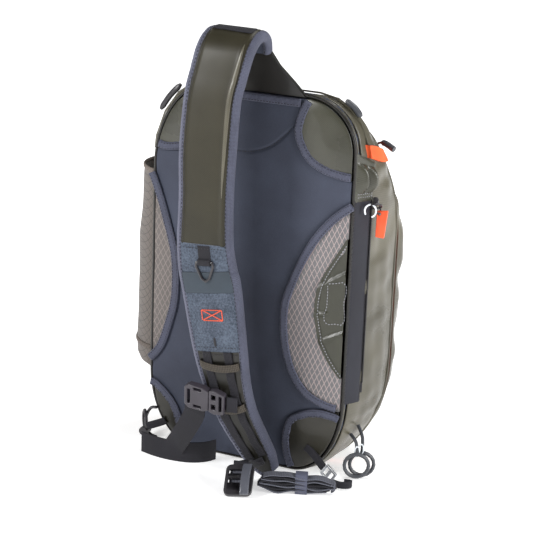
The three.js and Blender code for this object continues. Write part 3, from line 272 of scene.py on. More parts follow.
def woven(name, light, dark, pitch, relief, rough, sheen=0.0, blotch=14.0, coat=0.0, fleck=0.5):
    """Plain weave: thread height = sin(pi u / pitch) sin(pi v / pitch) / 2 + 1/2, so warp and weft take
    turns. The colour runs from dark to light by a tone of dye clouds, fine hair and threads; fleck is the
    hair's share."""
    cloth = Finish(name)
    _, (u, v, _) = cloth.place("UV")
    solid_point, _ = cloth.place("Object")
    warp = (u * (math.pi / pitch)).sin()
    weft = (v * (math.pi / pitch)).sin()
    thread = (warp * weft) * 0.5 + 0.5
    dye = cloth.noise(solid_point, blotch, 4.0)
    hair = cloth.noise(solid_point, 900.0 if fleck < 1 else 480.0, 2.0)
    tone = dye * (1.0 - 0.35 * fleck) + hair * (0.35 * fleck) + (thread - 0.5) * 0.16
    ramp = cloth.spread(tone, 0.32, 0.68)
    cloth.set(Base_Color=cloth.mix(ramp, dark, light), Roughness=rough + (dye - 0.5) * 0.25, Coat_Weight=coat)
    cloth.set(Coat_Roughness=0.25, Sheen_Weight=sheen, Sheen_Roughness=0.5, Specular_IOR_Level=0.3)
    cloth.set(Normal=cloth.bump(thread + hair * 0.4, relief, 0.0004))
    return cloth.material


def ribbed_tape(name, light, dark, rib, relief=0.8, along=True):
    """Binding tape and webbing: ridges sin(2 pi v / rib) along the tape, or across it, and cross threads
    a little wider apart, sin(2 pi u / 1.15 rib + 1.2 ridge), that bend round each ridge."""
    tape = Finish(name)
    _, (u, v, _) = tape.place("UV")
    solid_point, _ = tape.place("Object")
    ridge = ((v if along else u) * (2 * math.pi / rib)).sin()
    cross = ((u if along else v) * (2 * math.pi / (rib * 1.15)) + ridge * 1.2).sin()
    thread = ridge * 0.35 + cross * 0.25 + 0.5
    dye = tape.noise(solid_point, 30.0, 4.0)
    hair = tape.noise(solid_point, 1300.0, 2.0)
    tone = thread * 0.5 + dye * 0.3 + hair * 0.2
    ramp = tape.spread(tone, 0.3, 0.7)
    tape.set(Base_Color=tape.mix(ramp, dark, light), Roughness=0.72 + (dye - 0.5) * 0.2)
    tape.set(Sheen_Weight=0.06, Sheen_Roughness=0.4, Specular_IOR_Level=0.3)
    tape.set(Normal=tape.bump(thread + hair * 0.3, relief, 0.0006))
    return tape.material


def moulded(name, colour, rough, grain=900.0, relief=0.12, metal=0.0, worn=0.06):
    """Moulded plastic, rubber or metal: a fine grain in the bump, and smears that lighten its colour towards
    1.5 colour + 0.2 worn and make its gloss uneven."""
    part = Finish(name)
    point, _ = part.place("Object")
    grain_noise = part.noise(point, grain, 3.0)
    smear = part.noise(point, 60.0, 4.0)
    lighter = tuple(min(1.0, channel * 1.5 + worn * 0.2) for channel in colour[:3]) + (1.0,)
    part.set(Base_Color=part.mix(smear * 0.8, colour, lighter), Roughness=rough + (smear - 0.5) * 0.22,
             Metallic=metal)
    part.set(Normal=part.bump(grain_noise, relief, 0.0002))
    return part.material


# Light colour, dark colour, thread pitch, relief, roughness, then sheen, blotch size, coat and fleck where
# they matter
WOVEN = {
    "coated_olive": ((98, 94, 80), (60, 57, 46), 0.0011, 0.28, 0.30, 0.0, 9.0, 0.4),
    "strap_olive": ((54, 50, 35), (33, 31, 20), 0.0012, 0.18, 0.47, 0.0, 9.0, 0.04),
    "lower_olive": ((32, 30, 24), (19, 18, 14), 0.0012, 0.25, 0.35, 0.0, 9.0, 0.25),
    "corner_olive": ((71, 70, 58), (46, 46, 37), 0.0012, 0.3, 0.30, 0.0, 12.0, 0.4),
    # A darker copy of corner_olive for the lower corners: painted shade
    "shaded_corner_olive": ((48, 46, 38), (30, 28, 22), 0.0012, 0.3, 0.34, 0.0, 12.0, 0.3),
    "patch_olive": ((61, 61, 50), (45, 45, 35), 0.0012, 0.3, 0.36, 0.0, 12.0, 0.3),
    "yoke_olive": ((30, 27, 23), (18, 16, 14), 0.0012, 0.3, 0.42, 0.0, 9.0, 0.25),
    "orange_lining": ((250, 110, 60), (220, 76, 38), 0.001, 0.3, 0.7),
    "slate_pad": ((67, 72, 87), (45, 48, 60), 0.0009, 0.25, 0.75, 0.0, 7.0),
    "dark_slate": ((45, 46, 54), (31, 31, 38), 0.001, 0.3, 0.7, 0.05),
    "pocket_cloth": ((114, 105, 99), (70, 64, 60), 0.0024, 0.9, 0.85, 0.0, 10.0),
    "felt_grey": ((92, 102, 117), (46, 53, 66), 0.0007, 0.7, 0.95, 0.15, 60.0, 0.0, 1.8),
    "teal_band": ((57, 67, 77), (46, 54, 62), 0.0006, 0.2, 0.55, 0.05, 20.0),
}
# Light colour, dark colour, pitch of the ribs, relief, and whether the ribs run along the tape
TAPES = {
    "slate_binding": ((98, 101, 120), (42, 44, 56), 0.0013),
    # A lighter copy of slate_binding for the strap's left binding: painted light on the side that faces the
    # key light
    "painted_lit_binding": ((122, 124, 142), (62, 64, 79), 0.0013),
    "webbing": ((41, 40, 47), (17, 16, 20), 0.0017),
    # A lighter copy of webbing: painted light, and painted highlights on the edges of the bundle's layers
    "webbing_painted_light": ((104, 106, 117), (56, 57, 65), 0.0017),
    "olive_webbing": ((84, 77, 68), (44, 40, 35), 0.0020, 0.9, False),
}
# Colour, roughness, then grain, relief, metal and wear where they differ
MOULDED = {
    "black_plastic": ((36, 34, 38), 0.34),
    "buckle_plastic": ((50, 46, 53), 0.36),
    "lever_grey": ((74, 76, 84), 0.3),
    "grey_rubber": ((56, 58, 63), 0.45),
    "orange_pull": ((222, 74, 28), 0.5),
    "metal": ((205, 207, 211), 0.28, 600.0, 0.03, 0.85),
    "bright_wire": ((205, 210, 216), 0.3, 300.0, 0.02, 0.2, 0.02),
    "black_thread": ((30, 29, 34), 0.7),
    "dim_thread": ((30, 30, 40), 0.7, 900.0, 0.12, 0.0, 0.0),
    "pale_thread": ((150, 150, 158), 0.7),
    "orange_thread": ((214, 84, 52), 0.6),
}
finish = {name: woven(name, srgb(*light), srgb(*dark), *rest) for name, (light, dark, *rest) in WOVEN.items()}
for name, (light, dark, *rest) in TAPES.items():
    finish[name] = ribbed_tape(name, srgb(*light), srgb(*dark), *rest)
for name, (colour, *rest) in MOULDED.items():
    finish[name] = moulded(name, srgb(*colour), *rest)
print("plain finishes", len(finish))

# %% [markdown]
# Ripstop is a thin plain weave with thicker threads at regular steps. Here they run on the diagonal and
# show as faint pink lines with tiny dark dots where they cross.

# %% Ripstop finish


def ripstop(name, ground, shade, line, dot, cell):
    """Two diagonal families of lines: a line is drawn where the fraction of (1.9 (x + y) +- z) / cell is
    near its middle. On the back y hardly changes, and on the sides x hardly changes."""
    cloth = Finish(name)
    solid_point, (x, y, z) = cloth.place("Object")
    around = (x + y) * 1.9
    first = ((around + z) / cell + 40.0).frac()
    second = ((around - z) / cell + 40.0).frac()
    first = (first - 0.5).abs()
    second = (second - 0.5).abs()
    lines = (first < 0.07).max(second < 0.07)
    cross = (first < 0.06) * (second < 0.06) * (cloth.noise(solid_point, 90.0, 1.0) > 0.6)
    dye = cloth.noise(solid_point, 12.0, 4.0)
    hair = cloth.noise(solid_point, 700.0, 2.0)
    base = cloth.mix(dye * 0.7 + hair * 0.3, shade, ground)
    lined = cloth.mix(lines * 0.7, base, line)
    cloth.set(Base_Color=cloth.mix(cross * 0.8, lined, dot), Roughness=0.7, Sheen_Weight=0.2)
    cloth.set(Normal=cloth.bump(lines * 0.6 + hair * 0.6, 0.4, 0.0004))
    return cloth.material


# Ground, shade, line and dot colours, and the size of a cell
RIPSTOPS = {
    "ripstop": ((115, 114, 115), (89, 88, 90), (182, 162, 160), (52, 48, 56), 0.0122),
    "ripstop_brown": ((104, 98, 95), (82, 77, 75), (140, 128, 123), (46, 43, 46), 0.0122),
    "pocket_knit": ((104, 96, 90), (74, 67, 63), (52, 46, 43), (52, 46, 43), 0.0096),
}
for name, (*colours, cell) in RIPSTOPS.items():
    finish[name] = ripstop(name, *[srgb(*colour) for colour in colours], cell)
print("finishes", len(finish))

# %% [markdown]
# A studio floor is a paper sweep lit so brightly that its edge can't be seen. Here the floor glows a
# little more with each step away from the bag, so it keeps the bag's soft shadow and still melts into the
# white sky.

# %% Floor finish
floor_finish = Finish("floor_white")
_, (floor_x, floor_y, _) = floor_finish.place("Object")
far = (floor_x * floor_x + floor_y * floor_y).power(0.5)
glow = floor_finish.spread(far, 0.22, 0.75)
lift = floor_finish.mix(glow, (0.48, 0.48, 0.48, 1.0), (1.0, 1.0, 1.0, 1.0))
floor_finish.set(Base_Color=(0.9, 0.9, 0.9, 1.0), Roughness=0.9, Emission_Color=lift, Emission_Strength=1.0)
floor_mesh.materials.append(floor_finish.material)
print("floor finished")

# %% [markdown]
# A surface is a grid of points. One helper turns a grid into a mesh with its UV map in metres, and joins
# it round where it closes on itself. A slab is two such grids with their rims sewn together, and a sweep
# carries a profile along a path.

# %% Surface helpers


def arc_length(line):
    """Length run along a line at each of its points: the running sum of the distances between neighbours."""
    return np.concatenate([[0.0], np.cumsum(np.linalg.norm(np.diff(line, axis=0), axis=1))])


def each(vector, count):
    """The same vector, once for each of count points."""
    return np.tile(np.asarray(vector, dtype=float), (count, 1))


def quads(rows, columns, wrap_rows=False, wrap_columns=False):
    """Corner numbers of each cell of a grid with that many points each way."""
    i = np.arange(rows if wrap_rows else rows - 1)[:, None]
    j = np.arange(columns if wrap_columns else columns - 1)[None, :]
    i2, j2 = (i + 1) % rows, (j + 1) % columns
    corners = np.stack(np.broadcast_arrays(i * columns + j, i2 * columns + j, i2 * columns + j2,
                                           i * columns + j2), -1)
    return corners.reshape(-1, 4)


def grid_uv(points):
    """Distance run along each way of the grid, in metres, averaged so that the map has no shear."""
    down = np.linalg.norm(np.diff(points, axis=0), axis=2).mean(axis=1)
    across = np.linalg.norm(np.diff(points, axis=1), axis=2).mean(axis=0)
    u = np.concatenate([[0.0], np.cumsum(down)])[:, None] + np.zeros((1, points.shape[1]))
    v = np.concatenate([[0.0], np.cumsum(across)])[None, :] + np.zeros((points.shape[0], 1))
    return np.stack([u, v], -1)


def signed_volume(points, faces):
    """Six times the volume under the faces, for turning a closed shape the right way out."""
    a, b, c, d = (points[faces[:, k]] for k in range(4))
    return float(np.einsum("ij,ij->", a, np.cross(b, c)) + np.einsum("ij,ij->", a, np.cross(c, d)))


def build(name, points, faces, uv, material, replaced=(), polygons=()):
    """Makes the object from flat arrays of points, quads and one UV for each point, and lets it ride on
    the bag."""
    if signed_volume(points, faces) < 0:
        faces = faces[:, ::-1]
        polygons = [tuple(reversed(p)) for p in polygons]
    mesh = bpy.data.meshes.new(name)
    mesh.from_pydata(points.tolist(), [], faces.tolist() + [list(p) for p in polygons])
    layer = mesh.uv_layers.new(name="cloth_uv")
    corner_points = np.empty(len(mesh.loops), dtype=np.int32)
    mesh.loops.foreach_get("vertex_index", corner_points)
    layer.data.foreach_set("uv", uv[corner_points].astype(np.float32).ravel())
    mesh.polygons.foreach_set("use_smooth", np.ones(len(mesh.polygons), dtype=bool))
    mesh.materials.append(material)
    piece = bpy.data.objects.new(name, mesh)
    bpy.context.scene.collection.objects.link(piece)
    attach(piece, "root")
    if replaced:
        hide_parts(*replaced)
    return piece


def slab(name, top, bottom, material, replaced=(), uv=None):
    """A closed sheet: the top grid, the bottom grid, and a strip round the rim between them."""
    rows, columns = top.shape[:2]
    points = np.concatenate([top.reshape(-1, 3), bottom.reshape(-1, 3)])
    half = rows * columns
    faces = [quads(rows, columns), quads(rows, columns)[:, ::-1] + half]
    index = np.arange(half).reshape(rows, columns)
    rim = np.concatenate([index[0, :-1], index[:-1, -1], index[-1, :0:-1], index[:0:-1, 0]])
    after = np.roll(rim, -1)
    faces.append(np.stack([after, rim, rim + half, after + half], -1))
    cloth_uv = (grid_uv(top) if uv is None else uv).reshape(-1, 2)
    return build(name, points, np.concatenate(faces)[:, ::-1], np.concatenate([cloth_uv, cloth_uv]),
                 material, replaced)


def tube(name, rings, material, replaced=(), closed=False, uv=None):
    """A sweep: rings[i, j] is point j of the profile at step i. Open ends are shut with one many-sided
    face."""
    steps, count = rings.shape[:2]
    points = rings.reshape(-1, 3)
    ends = [] if closed else [tuple(range(count)), tuple(range((steps - 1) * count, steps * count))[::-1]]
    cloth_uv = (grid_uv(rings) if uv is None else uv).reshape(-1, 2)
    faces = quads(steps, count, closed, True)
    return build(name, points, faces, cloth_uv, material, replaced, ends)


def smooth_line(places, count):
    """A cubic curve through the places, laid out by the straight distances between them, and read at even
    steps of its length."""
    places = np.asarray(places, dtype=float)
    chord = arc_length(places)
    slope = np.gradient(places, chord, axis=0)

    def read(t):
        """The cubic of the span that holds t: h00 a + h10 slope a + h01 b + h11 slope b, for its ends a, b."""
        k = np.clip(np.searchsorted(chord, t, side="right") - 1, 0, len(chord) - 2)
        span = chord[k + 1] - chord[k]
        s = ((t - chord[k]) / span)[:, None]
        h00, h10 = 2 * s**3 - 3 * s**2 + 1, s**3 - 2 * s**2 + s
        h01, h11 = -2 * s**3 + 3 * s**2, s**3 - s**2
        return (h00 * places[k] + h10 * span[:, None] * slope[k] + h01 * places[k + 1]
                + h11 * span[:, None] * slope[k + 1])

    fine = read(np.linspace(0, chord[-1], 12 * count))
    run = arc_length(fine)
    even = np.linspace(0, run[-1], count)
    return np.stack([np.interp(even, run, fine[:, k]) for k in range(fine.shape[1])], -1)


def ripple(u, v, waves, seed):
    """Soft uneven folds: a sum of sine waves whose directions and phases come from a fixed seed, from -1
    to 1."""
    dice = np.random.default_rng(seed)
    total = np.zeros(np.broadcast(u, v).shape)
    for _ in range(6):
        angle = dice.uniform(0, 2 * math.pi)
        phase = dice.uniform(0, 2 * math.pi)
        stretch = dice.uniform(0.6, 1.6)
        total += np.sin(waves * stretch * (u * math.cos(angle) + v * math.sin(angle)) + phase)
    return total / 6.0


def unit(vectors):
    """Each vector divided by its length."""
    return vectors / np.maximum(np.linalg.norm(vectors, axis=-1, keepdims=True), 1e-9)


def round_section(line, radius, sides, a, b):
    """Circles along a line: point = line + radius * (cos(angle) a + sin(angle) b), one circle for each of
    its points."""
    angle = np.arange(sides) * 2 * math.pi / sides
    ring = np.cos(angle)[None, :, None] * a[:, None, :] + np.sin(angle)[None, :, None] * b[:, None, :]
    return line[:, None, :] + radius * ring


print("surface helpers ready")

# %% [markdown]
# A seam is sewn with stitches that can be seen and counted. Each is a tiny rounded bar of a few faces
# that dips into the cloth at both ends, and one mesh holds all the stitches of a seam.

# %% Stitch helper


def stitches(name, line, out, material, length=0.0026, gap=0.0014, radius=0.00038):
    """Bars along a line, in steps of length + gap; each is a six-sided spindle that follows the line's
    direction."""
    run = arc_length(line)
    starts = np.arange(gap, run[-1] - length, length + gap)
    shares = np.array([0.0, 0.18, 0.5, 0.82, 1.0])
    heights = np.array([-0.0004, 0.0001, 0.00025, 0.0001, -0.0004])
    widths = np.array([0.35, 0.95, 1.0, 0.95, 0.35]) * radius
    at = starts[:, None] + shares[None, :] * length
    centre = np.stack([np.interp(at, run, line[:, k]) for k in range(3)], -1)
    normal = unit(np.stack([np.interp(at, run, out[:, k]) for k in range(3)], -1))
    tangent = unit(np.gradient(centre, axis=1))
    side = np.cross(tangent, normal)
    centre = centre + normal * heights[None, :, None]
    angle = np.arange(6) * math.pi / 3
    ring = (np.cos(angle)[:, None] * side[:, :, None, :] + np.sin(angle)[:, None] * normal[:, :, None, :])
    rings = centre[:, :, None, :] + ring * widths[None, :, None, None]
    count = len(starts)
    points = rings.reshape(-1, 3)
    one = quads(5, 6, False, True)
    faces = (one[None] + (np.arange(count) * 30)[:, None, None]).reshape(-1, 4)
    caps = []
    for k in range(count):
        caps += [tuple(range(k * 30 + 5, k * 30 - 1, -1)), tuple(range(k * 30 + 24, k * 30 + 30))]
    return build(name, points, faces, np.zeros((len(points), 2)), material, (), caps)


print("stitch helper ready")

# %% [markdown]
# The bag's body is a lofted shell of coated cloth. Its outline is a rounded rectangle whose corners and
# width change with depth, so one function of depth and of the place round the outline gives every point
# of it.

# %% Body outline
HALF_WIDTH = 0.125
BAG_HEIGHT = 0.445
BAG_DEPTH = 0.137
BACK_Y = -0.4 * BAG_DEPTH
RIM_Y = BACK_Y + 0.0091
PANEL_FLOOR_Y = BACK_Y + 0.006
PAD_CROWN = 0.005
SEAM_INSET = 0.0051
OUTLINE_COUNT = 36
SHOULDER_SLOPE = (0.11, 0.095)
BODY_DEPTHS = np.array([0.00, 0.07, 0.22, 0.40, 0.56, 0.70, 0.84, 0.94, 1.00])
BODY_SHARES = np.array([
    [0.96, 1.000, 0.825, 0.000, 0.48, 0.140, 0.50, 0.210],
    [1.02, 1.000, 0.825, 0.000, 0.48, 0.145, 0.50, 0.212],
    [1.10, 0.990, 0.825, 0.000, 0.52, 0.180, 0.55, 0.235],
    [1.165, 0.940, 0.828, 0.000, 0.60, 0.205, 0.63, 0.265],
    [1.19, 0.874, 0.830, 0.000, 0.66, 0.205, 0.68, 0.290],
    [1.18, 0.836, 0.812, 0.000, 0.68, 0.210, 0.70, 0.300],
    [1.12, 0.800, 0.775, 0.012, 0.66, 0.200, 0.68, 0.290],
    [0.99, 0.760, 0.715, 0.045, 0.62, 0.190, 0.62, 0.260],
    [0.74, 0.700, 0.640, 0.120, 0.50, 0.160, 0.50, 0.190],
])
SPLIT_SHARES = np.array([
    [0.00, 0.24, 0.29], [0.10, 0.24, 0.29], [0.20, 0.40, 0.45], [0.32, 0.56, 0.60], [0.60, 0.56, 0.60],
    [0.68, 0.50, 0.60], [0.74, 0.38, 0.60], [0.80, 0.40, 0.61], [0.87, 0.52, 0.62], [0.94, 0.585, 0.63],
    [1.00, 0.60, 0.64],
])


def rounded_outline(half, top, base, top_x, top_z, base_x, base_z, index, slope):
    """x and z at a place round the outline, from the middle of the base round to the right. Straight runs
    are lines and corners are quarter ellipses; the left half mirrors the right one, with a longer
    shoulder."""
    mirrored = index > OUTLINE_COUNT / 2
    step = np.where(mirrored, OUTLINE_COUNT - index, index)
    tx = top_x + np.where(mirrored, slope * SHOULDER_SLOPE[0] * HALF_WIDTH, 0.0)
    tz = top_z + np.where(mirrored, slope * SHOULDER_SLOPE[1] * BAG_HEIGHT, 0.0)
    low = np.clip((step - 2) / 5, 0, 1) * math.pi / 2
    high = np.clip((step - 11) / 5, 0, 1) * math.pi / 2
    rise = np.clip((step - 7) / 4, 0, 1)
    x = np.select([step <= 2, step <= 7, step <= 11, step <= 16],
                  [(half - base_x) * step / 2, half - base_x + base_x * np.sin(low), half + 0 * step,
                   half - tx + tx * np.cos(high)], (half - tx) * (18 - step) / 2)
    z = np.select([step <= 2, step <= 7, step <= 11, step <= 16],
                  [base + 0 * step, base + base_z - base_z * np.cos(low),
                   (base + base_z) * (1 - rise) + (top - tz) * rise, top - tz + tz * np.sin(high)],
                  top + 0 * step)
    return np.where(mirrored, -x, x), z


def smooth_shares(share):
    """The body table read at any depth: straight lines between its rows, eased by averaging over a short
    stretch."""
    offsets = np.linspace(-0.05, 0.05, 7)
    reads = [[np.interp(np.clip(share + o, 0, 1), BODY_DEPTHS, BODY_SHARES[:, k]) for o in offsets]
             for k in range(8)]
    return [np.mean(column, axis=0) for column in reads]


def body_surface(y, index, front=False, inset=0.0):
    """The point of the body's cloth at a depth y and a place round the outline."""
    share = (y - BACK_Y) / BAG_DEPTH
    width, rear_top, front_top, base, top_x, top_z, base_x, base_z = smooth_shares(share)
    top = (front_top if front else rear_top) * BAG_HEIGHT - inset
    slope = np.maximum(0, 1 - 1.5 * share)
    x, z = rounded_outline(width * HALF_WIDTH - inset, top, base * BAG_HEIGHT + inset,
                           top_x * HALF_WIDTH - inset, top_z * BAG_HEIGHT - inset,
                           base_x * HALF_WIDTH - inset, base_z * BAG_HEIGHT - inset, index, slope)
    return np.stack([x, y + 0 * x, z], -1)


def seam_edge(index, inset):
    """The seam that closes the back panel: the same outline at the back face, drawn in by a distance."""
    x, z = rounded_outline(HALF_WIDTH - inset, BAG_HEIGHT - inset, inset + 0 * index,
                           0.48 * HALF_WIDTH - inset, 0.14 * BAG_HEIGHT - inset,
                           0.5 * HALF_WIDTH - inset, 0.212 * BAG_HEIGHT - inset, index, 1.0)
    return x, z


def split_depths(index):
    """Where the rear cloth ends and the front pocket begins, round the outline."""
    share = np.where(index > 18, 36 - index, index) / 18
    return (BACK_Y + np.interp(share, SPLIT_SHARES[:, 0], SPLIT_SHARES[:, 1]) * BAG_DEPTH,
            BACK_Y + np.interp(share, SPLIT_SHARES[:, 0], SPLIT_SHARES[:, 2]) * BAG_DEPTH)


print("body outline", 2 * HALF_WIDTH, "by", BAG_HEIGHT, "by", BAG_DEPTH)

# %% [markdown]
# Loose coated cloth puckers where a zip holds it. The folds are soft sine waves across the sides,
# strongest near the zip and gone at the seams, so that the cloth still meets its neighbours.

# %% Body cloth
AROUND = 432
CLOTH_WALL = 0.002
index = np.arange(AROUND) * OUTLINE_COUNT / AROUND
rear_end, front_start = split_depths(index)


def pushed(points, amount):
    """Moves each point of a ring grid along the surface's own normal, from the cross product of its two
    ways."""
    down = np.gradient(points, axis=0)
    around = np.roll(points, -1, axis=1) - np.roll(points, 1, axis=1)
    normal = unit(np.cross(down, around))
    middle = points.mean(axis=(0, 1))
    outward = np.sign(np.einsum("ijk,ijk->ij", normal, points - middle))[..., None]
    return points + normal * outward * amount[..., None]


def shell(name, points, wall, material, replaced):
    """A cloth wall: the outer rings, and the same rings moved in by the wall, closed along both rims."""
    inner = pushed(points, np.full(points.shape[:2], -wall))
    rings = np.concatenate([points, inner[::-1]], axis=0)
    uv = np.concatenate([grid_uv(points), grid_uv(points)[::-1]], axis=0)
    flat = rings.reshape(-1, 3)
    return build(name, flat, quads(*rings.shape[:2], True, True), uv.reshape(-1, 2), material, replaced)


stations = np.linspace(0, 1, 40)[:, None]
rear_y = RIM_Y + (rear_end - RIM_Y)[None, :] * stations
rear = body_surface(rear_y, index[None, :] + 0 * rear_y)
side_share = np.abs(rear[..., 0]) / 0.148
hold = np.sin(math.pi * stations) ** 0.7
folds = ripple(rear[..., 1] * 0.5, rear[..., 2], 95.0, 4) + 0.6 * ripple(rear[..., 1], rear[..., 2], 190.0, 9)
rear = pushed(rear, 0.0028 * folds * hold * np.clip(side_share * 1.4 - 0.2, 0.2, 1))
rear[..., 2] = np.maximum(rear[..., 2], 0.0)
shell("rear_cloth", rear, CLOTH_WALL, finish["coated_olive"], ["main_shell"])
print("rear cloth", rear.shape)

# %% [markdown]
# The front pocket is filled and pushes its cloth out, so it swells in two soft belts between the creases
# at its sides. Its flat front is a low dome, drawn as smaller and smaller copies of its rim, and the base
# rests flat on the floor.

# %% Front pocket cloth
front_shares = np.sin(np.linspace(0, 1, 44) * math.pi / 2)[:, None]
front_y = front_start[None, :] + (BACK_Y + BAG_DEPTH - front_start)[None, :] * front_shares
front = body_surface(front_y, index[None, :] + 0 * front_y, True)
pocket_hold = np.clip(front_shares * 6, 0, 1) * np.clip((1 - front_shares) * 8, 0.15, 1)
pocket_folds = (0.9 * ripple(front[..., 1] * 0.35, front[..., 2], 85.0, 21)
                + 0.45 * ripple(front[..., 1] * 0.8, front[..., 2], 170.0, 5))
front = pushed(front, 0.0052 * pocket_folds * pocket_hold * np.clip(np.abs(front[..., 0]) / 0.12, 0.25, 1))
swell = (0.0045 * np.exp(-(((front[..., 2] - 0.335) / 0.022) ** 2))
         + 0.0030 * np.exp(-(((front[..., 2] - 0.255) / 0.03) ** 2)))
front = pushed(front, swell * pocket_hold * np.clip(front[..., 0] / 0.12, 0, 1) ** 2)
rim = front[-1]
centre = np.array([0.0, BACK_Y + BAG_DEPTH + PAD_CROWN, 0.38 * BAG_HEIGHT])
draw = np.linspace(1, 0.0008, 34)[1:, None, None]
dome = centre + (rim - centre)[None] * draw
dome[..., 1] = (BACK_Y + BAG_DEPTH + PAD_CROWN * (1 - draw[..., 0] ** 2)
                + (rim[None, :, 1] - BACK_Y - BAG_DEPTH) * draw[..., 0])
front_all = np.concatenate([front, dome])
front_all[..., 2] = np.maximum(front_all[..., 2], 0.0)
shell("front_cloth", front_all, CLOTH_WALL, finish["coated_olive"], ["front_pocket"])
print("front cloth", front_all.shape)

# %% [markdown]
# Between the two cloths runs the zip's gusset. Its orange lining shows as a bright line, with the dark
# coil along it.

# %% Zip gusset
GUSSET_INSET = 0.0016
ZIP_CORD_RADIUS = 0.0012
FLOOR_CLEARANCE = 0.0013
gusset_shares = np.linspace(0, 1, 12)[:, None]
rear_rim = body_surface(rear_end[None, :], index[None, :], False, GUSSET_INSET)[0]
front_rim = body_surface(front_start[None, :], index[None, :], True, GUSSET_INSET)[0]
gusset = rear_rim[None] + (front_rim - rear_rim)[None] * gusset_shares[..., None]
shell("gusset_lining", gusset, 0.0015, finish["orange_lining"], ["front_gusset"])


def ring_tube(name, line, radius, material, sides=8, replaced=(), out=None):
    """A round cord that closes on itself, carried round a closed line."""
    tangent = unit(np.roll(line, -1, axis=0) - np.roll(line, 1, axis=0))
    away = unit(np.cross(tangent, np.array([0.0, 1.0, 0.0])) if out is None else out)
    other = np.cross(tangent, away)
    return tube(name, round_section(line, radius, sides, away, other), material, replaced, True)


for cord_name, edge, is_front in (("rear", rear_end - 0.001, False), ("front", front_start + 0.001, True)):
    line = body_surface(edge[None, :], index[None, :], is_front, -0.0002)[0]
    line[:, 2] = np.maximum(line[:, 2], FLOOR_CLEARANCE)
    ring_tube(cord_name + "_zip_cord", line, ZIP_CORD_RADIUS, finish["coated_olive"])
print("gusset and its two cords made")

# %% [markdown]
# The back panel is one gently crowned cushion divided into fields of cloth. Each field is a sheet of
# rows: at each height it runs from its left edge to its right edge, and its front face is the crown plus
# the field's own relief.

# %% Back panel fields
BOUND = {
    "right_wing": [(1.06, 0.765), (0.78, 0.699), (0.62, 0.640), (0.512, 0.582), (0.424, 0.519),
                   (0.366, 0.463), (0.358, 0.396), (0.392, 0.330), (0.478, 0.265), (0.616, 0.218),
                   (0.79, 0.195), (1.06, 0.185)],
    "left_wing": [(-1.06, 0.80), (-0.92, 0.72), (-0.79, 0.62), (-0.71, 0.54), (-0.69, 0.47), (-0.70, 0.41),
                  (-0.76, 0.34), (-0.85, 0.27), (-1.06, 0.20)],
    "top_right_corner": [(0.60, 1.04), (0.50, 0.99), (0.435, 0.945), (0.415, 0.905), (0.464, 0.865),
                         (0.568, 0.829), (0.712, 0.809), (0.88, 0.799), (1.06, 0.797)],
    "top_left_corner": [(-0.60, 1.04), (-0.50, 0.99), (-0.435, 0.945), (-0.415, 0.905), (-0.464, 0.865),
                        (-0.568, 0.835), (-0.712, 0.818), (-0.88, 0.812), (-1.06, 0.830)],
    "bottom_right_corner": [(1.06, 0.172), (0.91, 0.184), (0.76, 0.187), (0.62, 0.177), (0.48, 0.153),
                            (0.424, 0.110), (0.43, 0.054), (0.50, 0.000), (0.60, -0.04)],
    "bottom_left_corner": [(-1.06, 0.180), (-0.94, 0.180), (-0.82, 0.160), (-0.70, 0.125), (-0.63, 0.080),
                           (-0.61, 0.035), (-0.64, -0.04)],
}
WING_PATCH = [(1.10, 0.735), (0.98, 0.665), (0.85, 0.600), (0.73, 0.535), (0.68, 0.478), (0.695, 0.414),
              (0.745, 0.362), (0.85, 0.312), (1.10, 0.240)]
PAGE = np.array([HALF_WIDTH, BAG_HEIGHT])
curves = {name: smooth_line(np.array(places) * PAGE, 220)
          for name, places in {**BOUND, "wing_patch": WING_PATCH}.items()}


def crown(x, z):
    """Height of the cushion: highest in the middle, falling as a parabola across and as the root of a
    sine upwards."""
    across = np.clip(1 - (x / HALF_WIDTH) ** 2, 0, None)
    return PAD_CROWN * across * np.sqrt(np.clip(np.sin(math.pi * np.clip(z / BAG_HEIGHT, 0, 1)), 0, None))


def curve_x(name, z, towards):
    """The curve's x at each height, the one nearest the panel's middle where it has several."""
    line = curves[name]
    low, high = np.minimum(line[:-1, 1], line[1:, 1]), np.maximum(line[:-1, 1], line[1:, 1])
    rise = np.diff(line[:, 1])
    share = (z[:, None] - line[None, :-1, 1]) / np.where(rise == 0, 1e-9, rise)[None, :]
    x = line[None, :-1, 0] + share * np.diff(line[:, 0])[None, :]
    inside = (z[:, None] >= low[None]) & (z[:, None] <= high[None])
    found = np.where(inside, x, towards * 9.0)
    return found.min(axis=1) if towards > 0 else found.max(axis=1)


fine_index = np.linspace(0, 18, 900)
seam_right_x, seam_right_z = seam_edge(fine_index, SEAM_INSET)
seam_left_x, seam_left_z = seam_edge(36 - fine_index[:-1], SEAM_INSET)


def seam_reach(z, side):
    """How far out the panel's seam lies at each height on the right or the left."""
    xs, zs = (seam_right_x, seam_right_z) if side > 0 else (seam_left_x, seam_left_z)
    return np.interp(z, zs, xs)


def distance_to(name, x, z, every=4):
    """Shortest distance from each point of the panel to a curve."""
    line = curves[name][::every]
    return np.sqrt((x[..., None] - line[:, 0]) ** 2 + (z[..., None] - line[:, 1]) ** 2).min(axis=-1)


def field(name, z, left, right, columns, relief, material, replaced):
    """A sheet between two edges at each height: y = BACK_Y - crown(x, z) - relief(x, z)."""
    across = (1 - np.cos(np.linspace(0, math.pi, columns))) / 2
    x = left[:, None] + (right - left)[:, None] * across[None, :]
    zz = z[:, None] + 0 * x
    height = crown(x, zz) + relief(x, zz)
    top = np.stack([x, BACK_Y - height, zz], -1)
    bottom = np.stack([x, np.full_like(x, PANEL_FLOOR_Y), zz], -1)
    return slab(name, top, bottom, material, replaced, np.stack([zz, x], -1))


def binding_dip(x, z, names, depth, reach):
    """Padding is pulled down beside each binding: a dip that fades as exp(-distance / reach)."""
    nearest = np.min([distance_to(name, x, z) for name in names], axis=0)
    return -depth * np.exp(-nearest / reach)


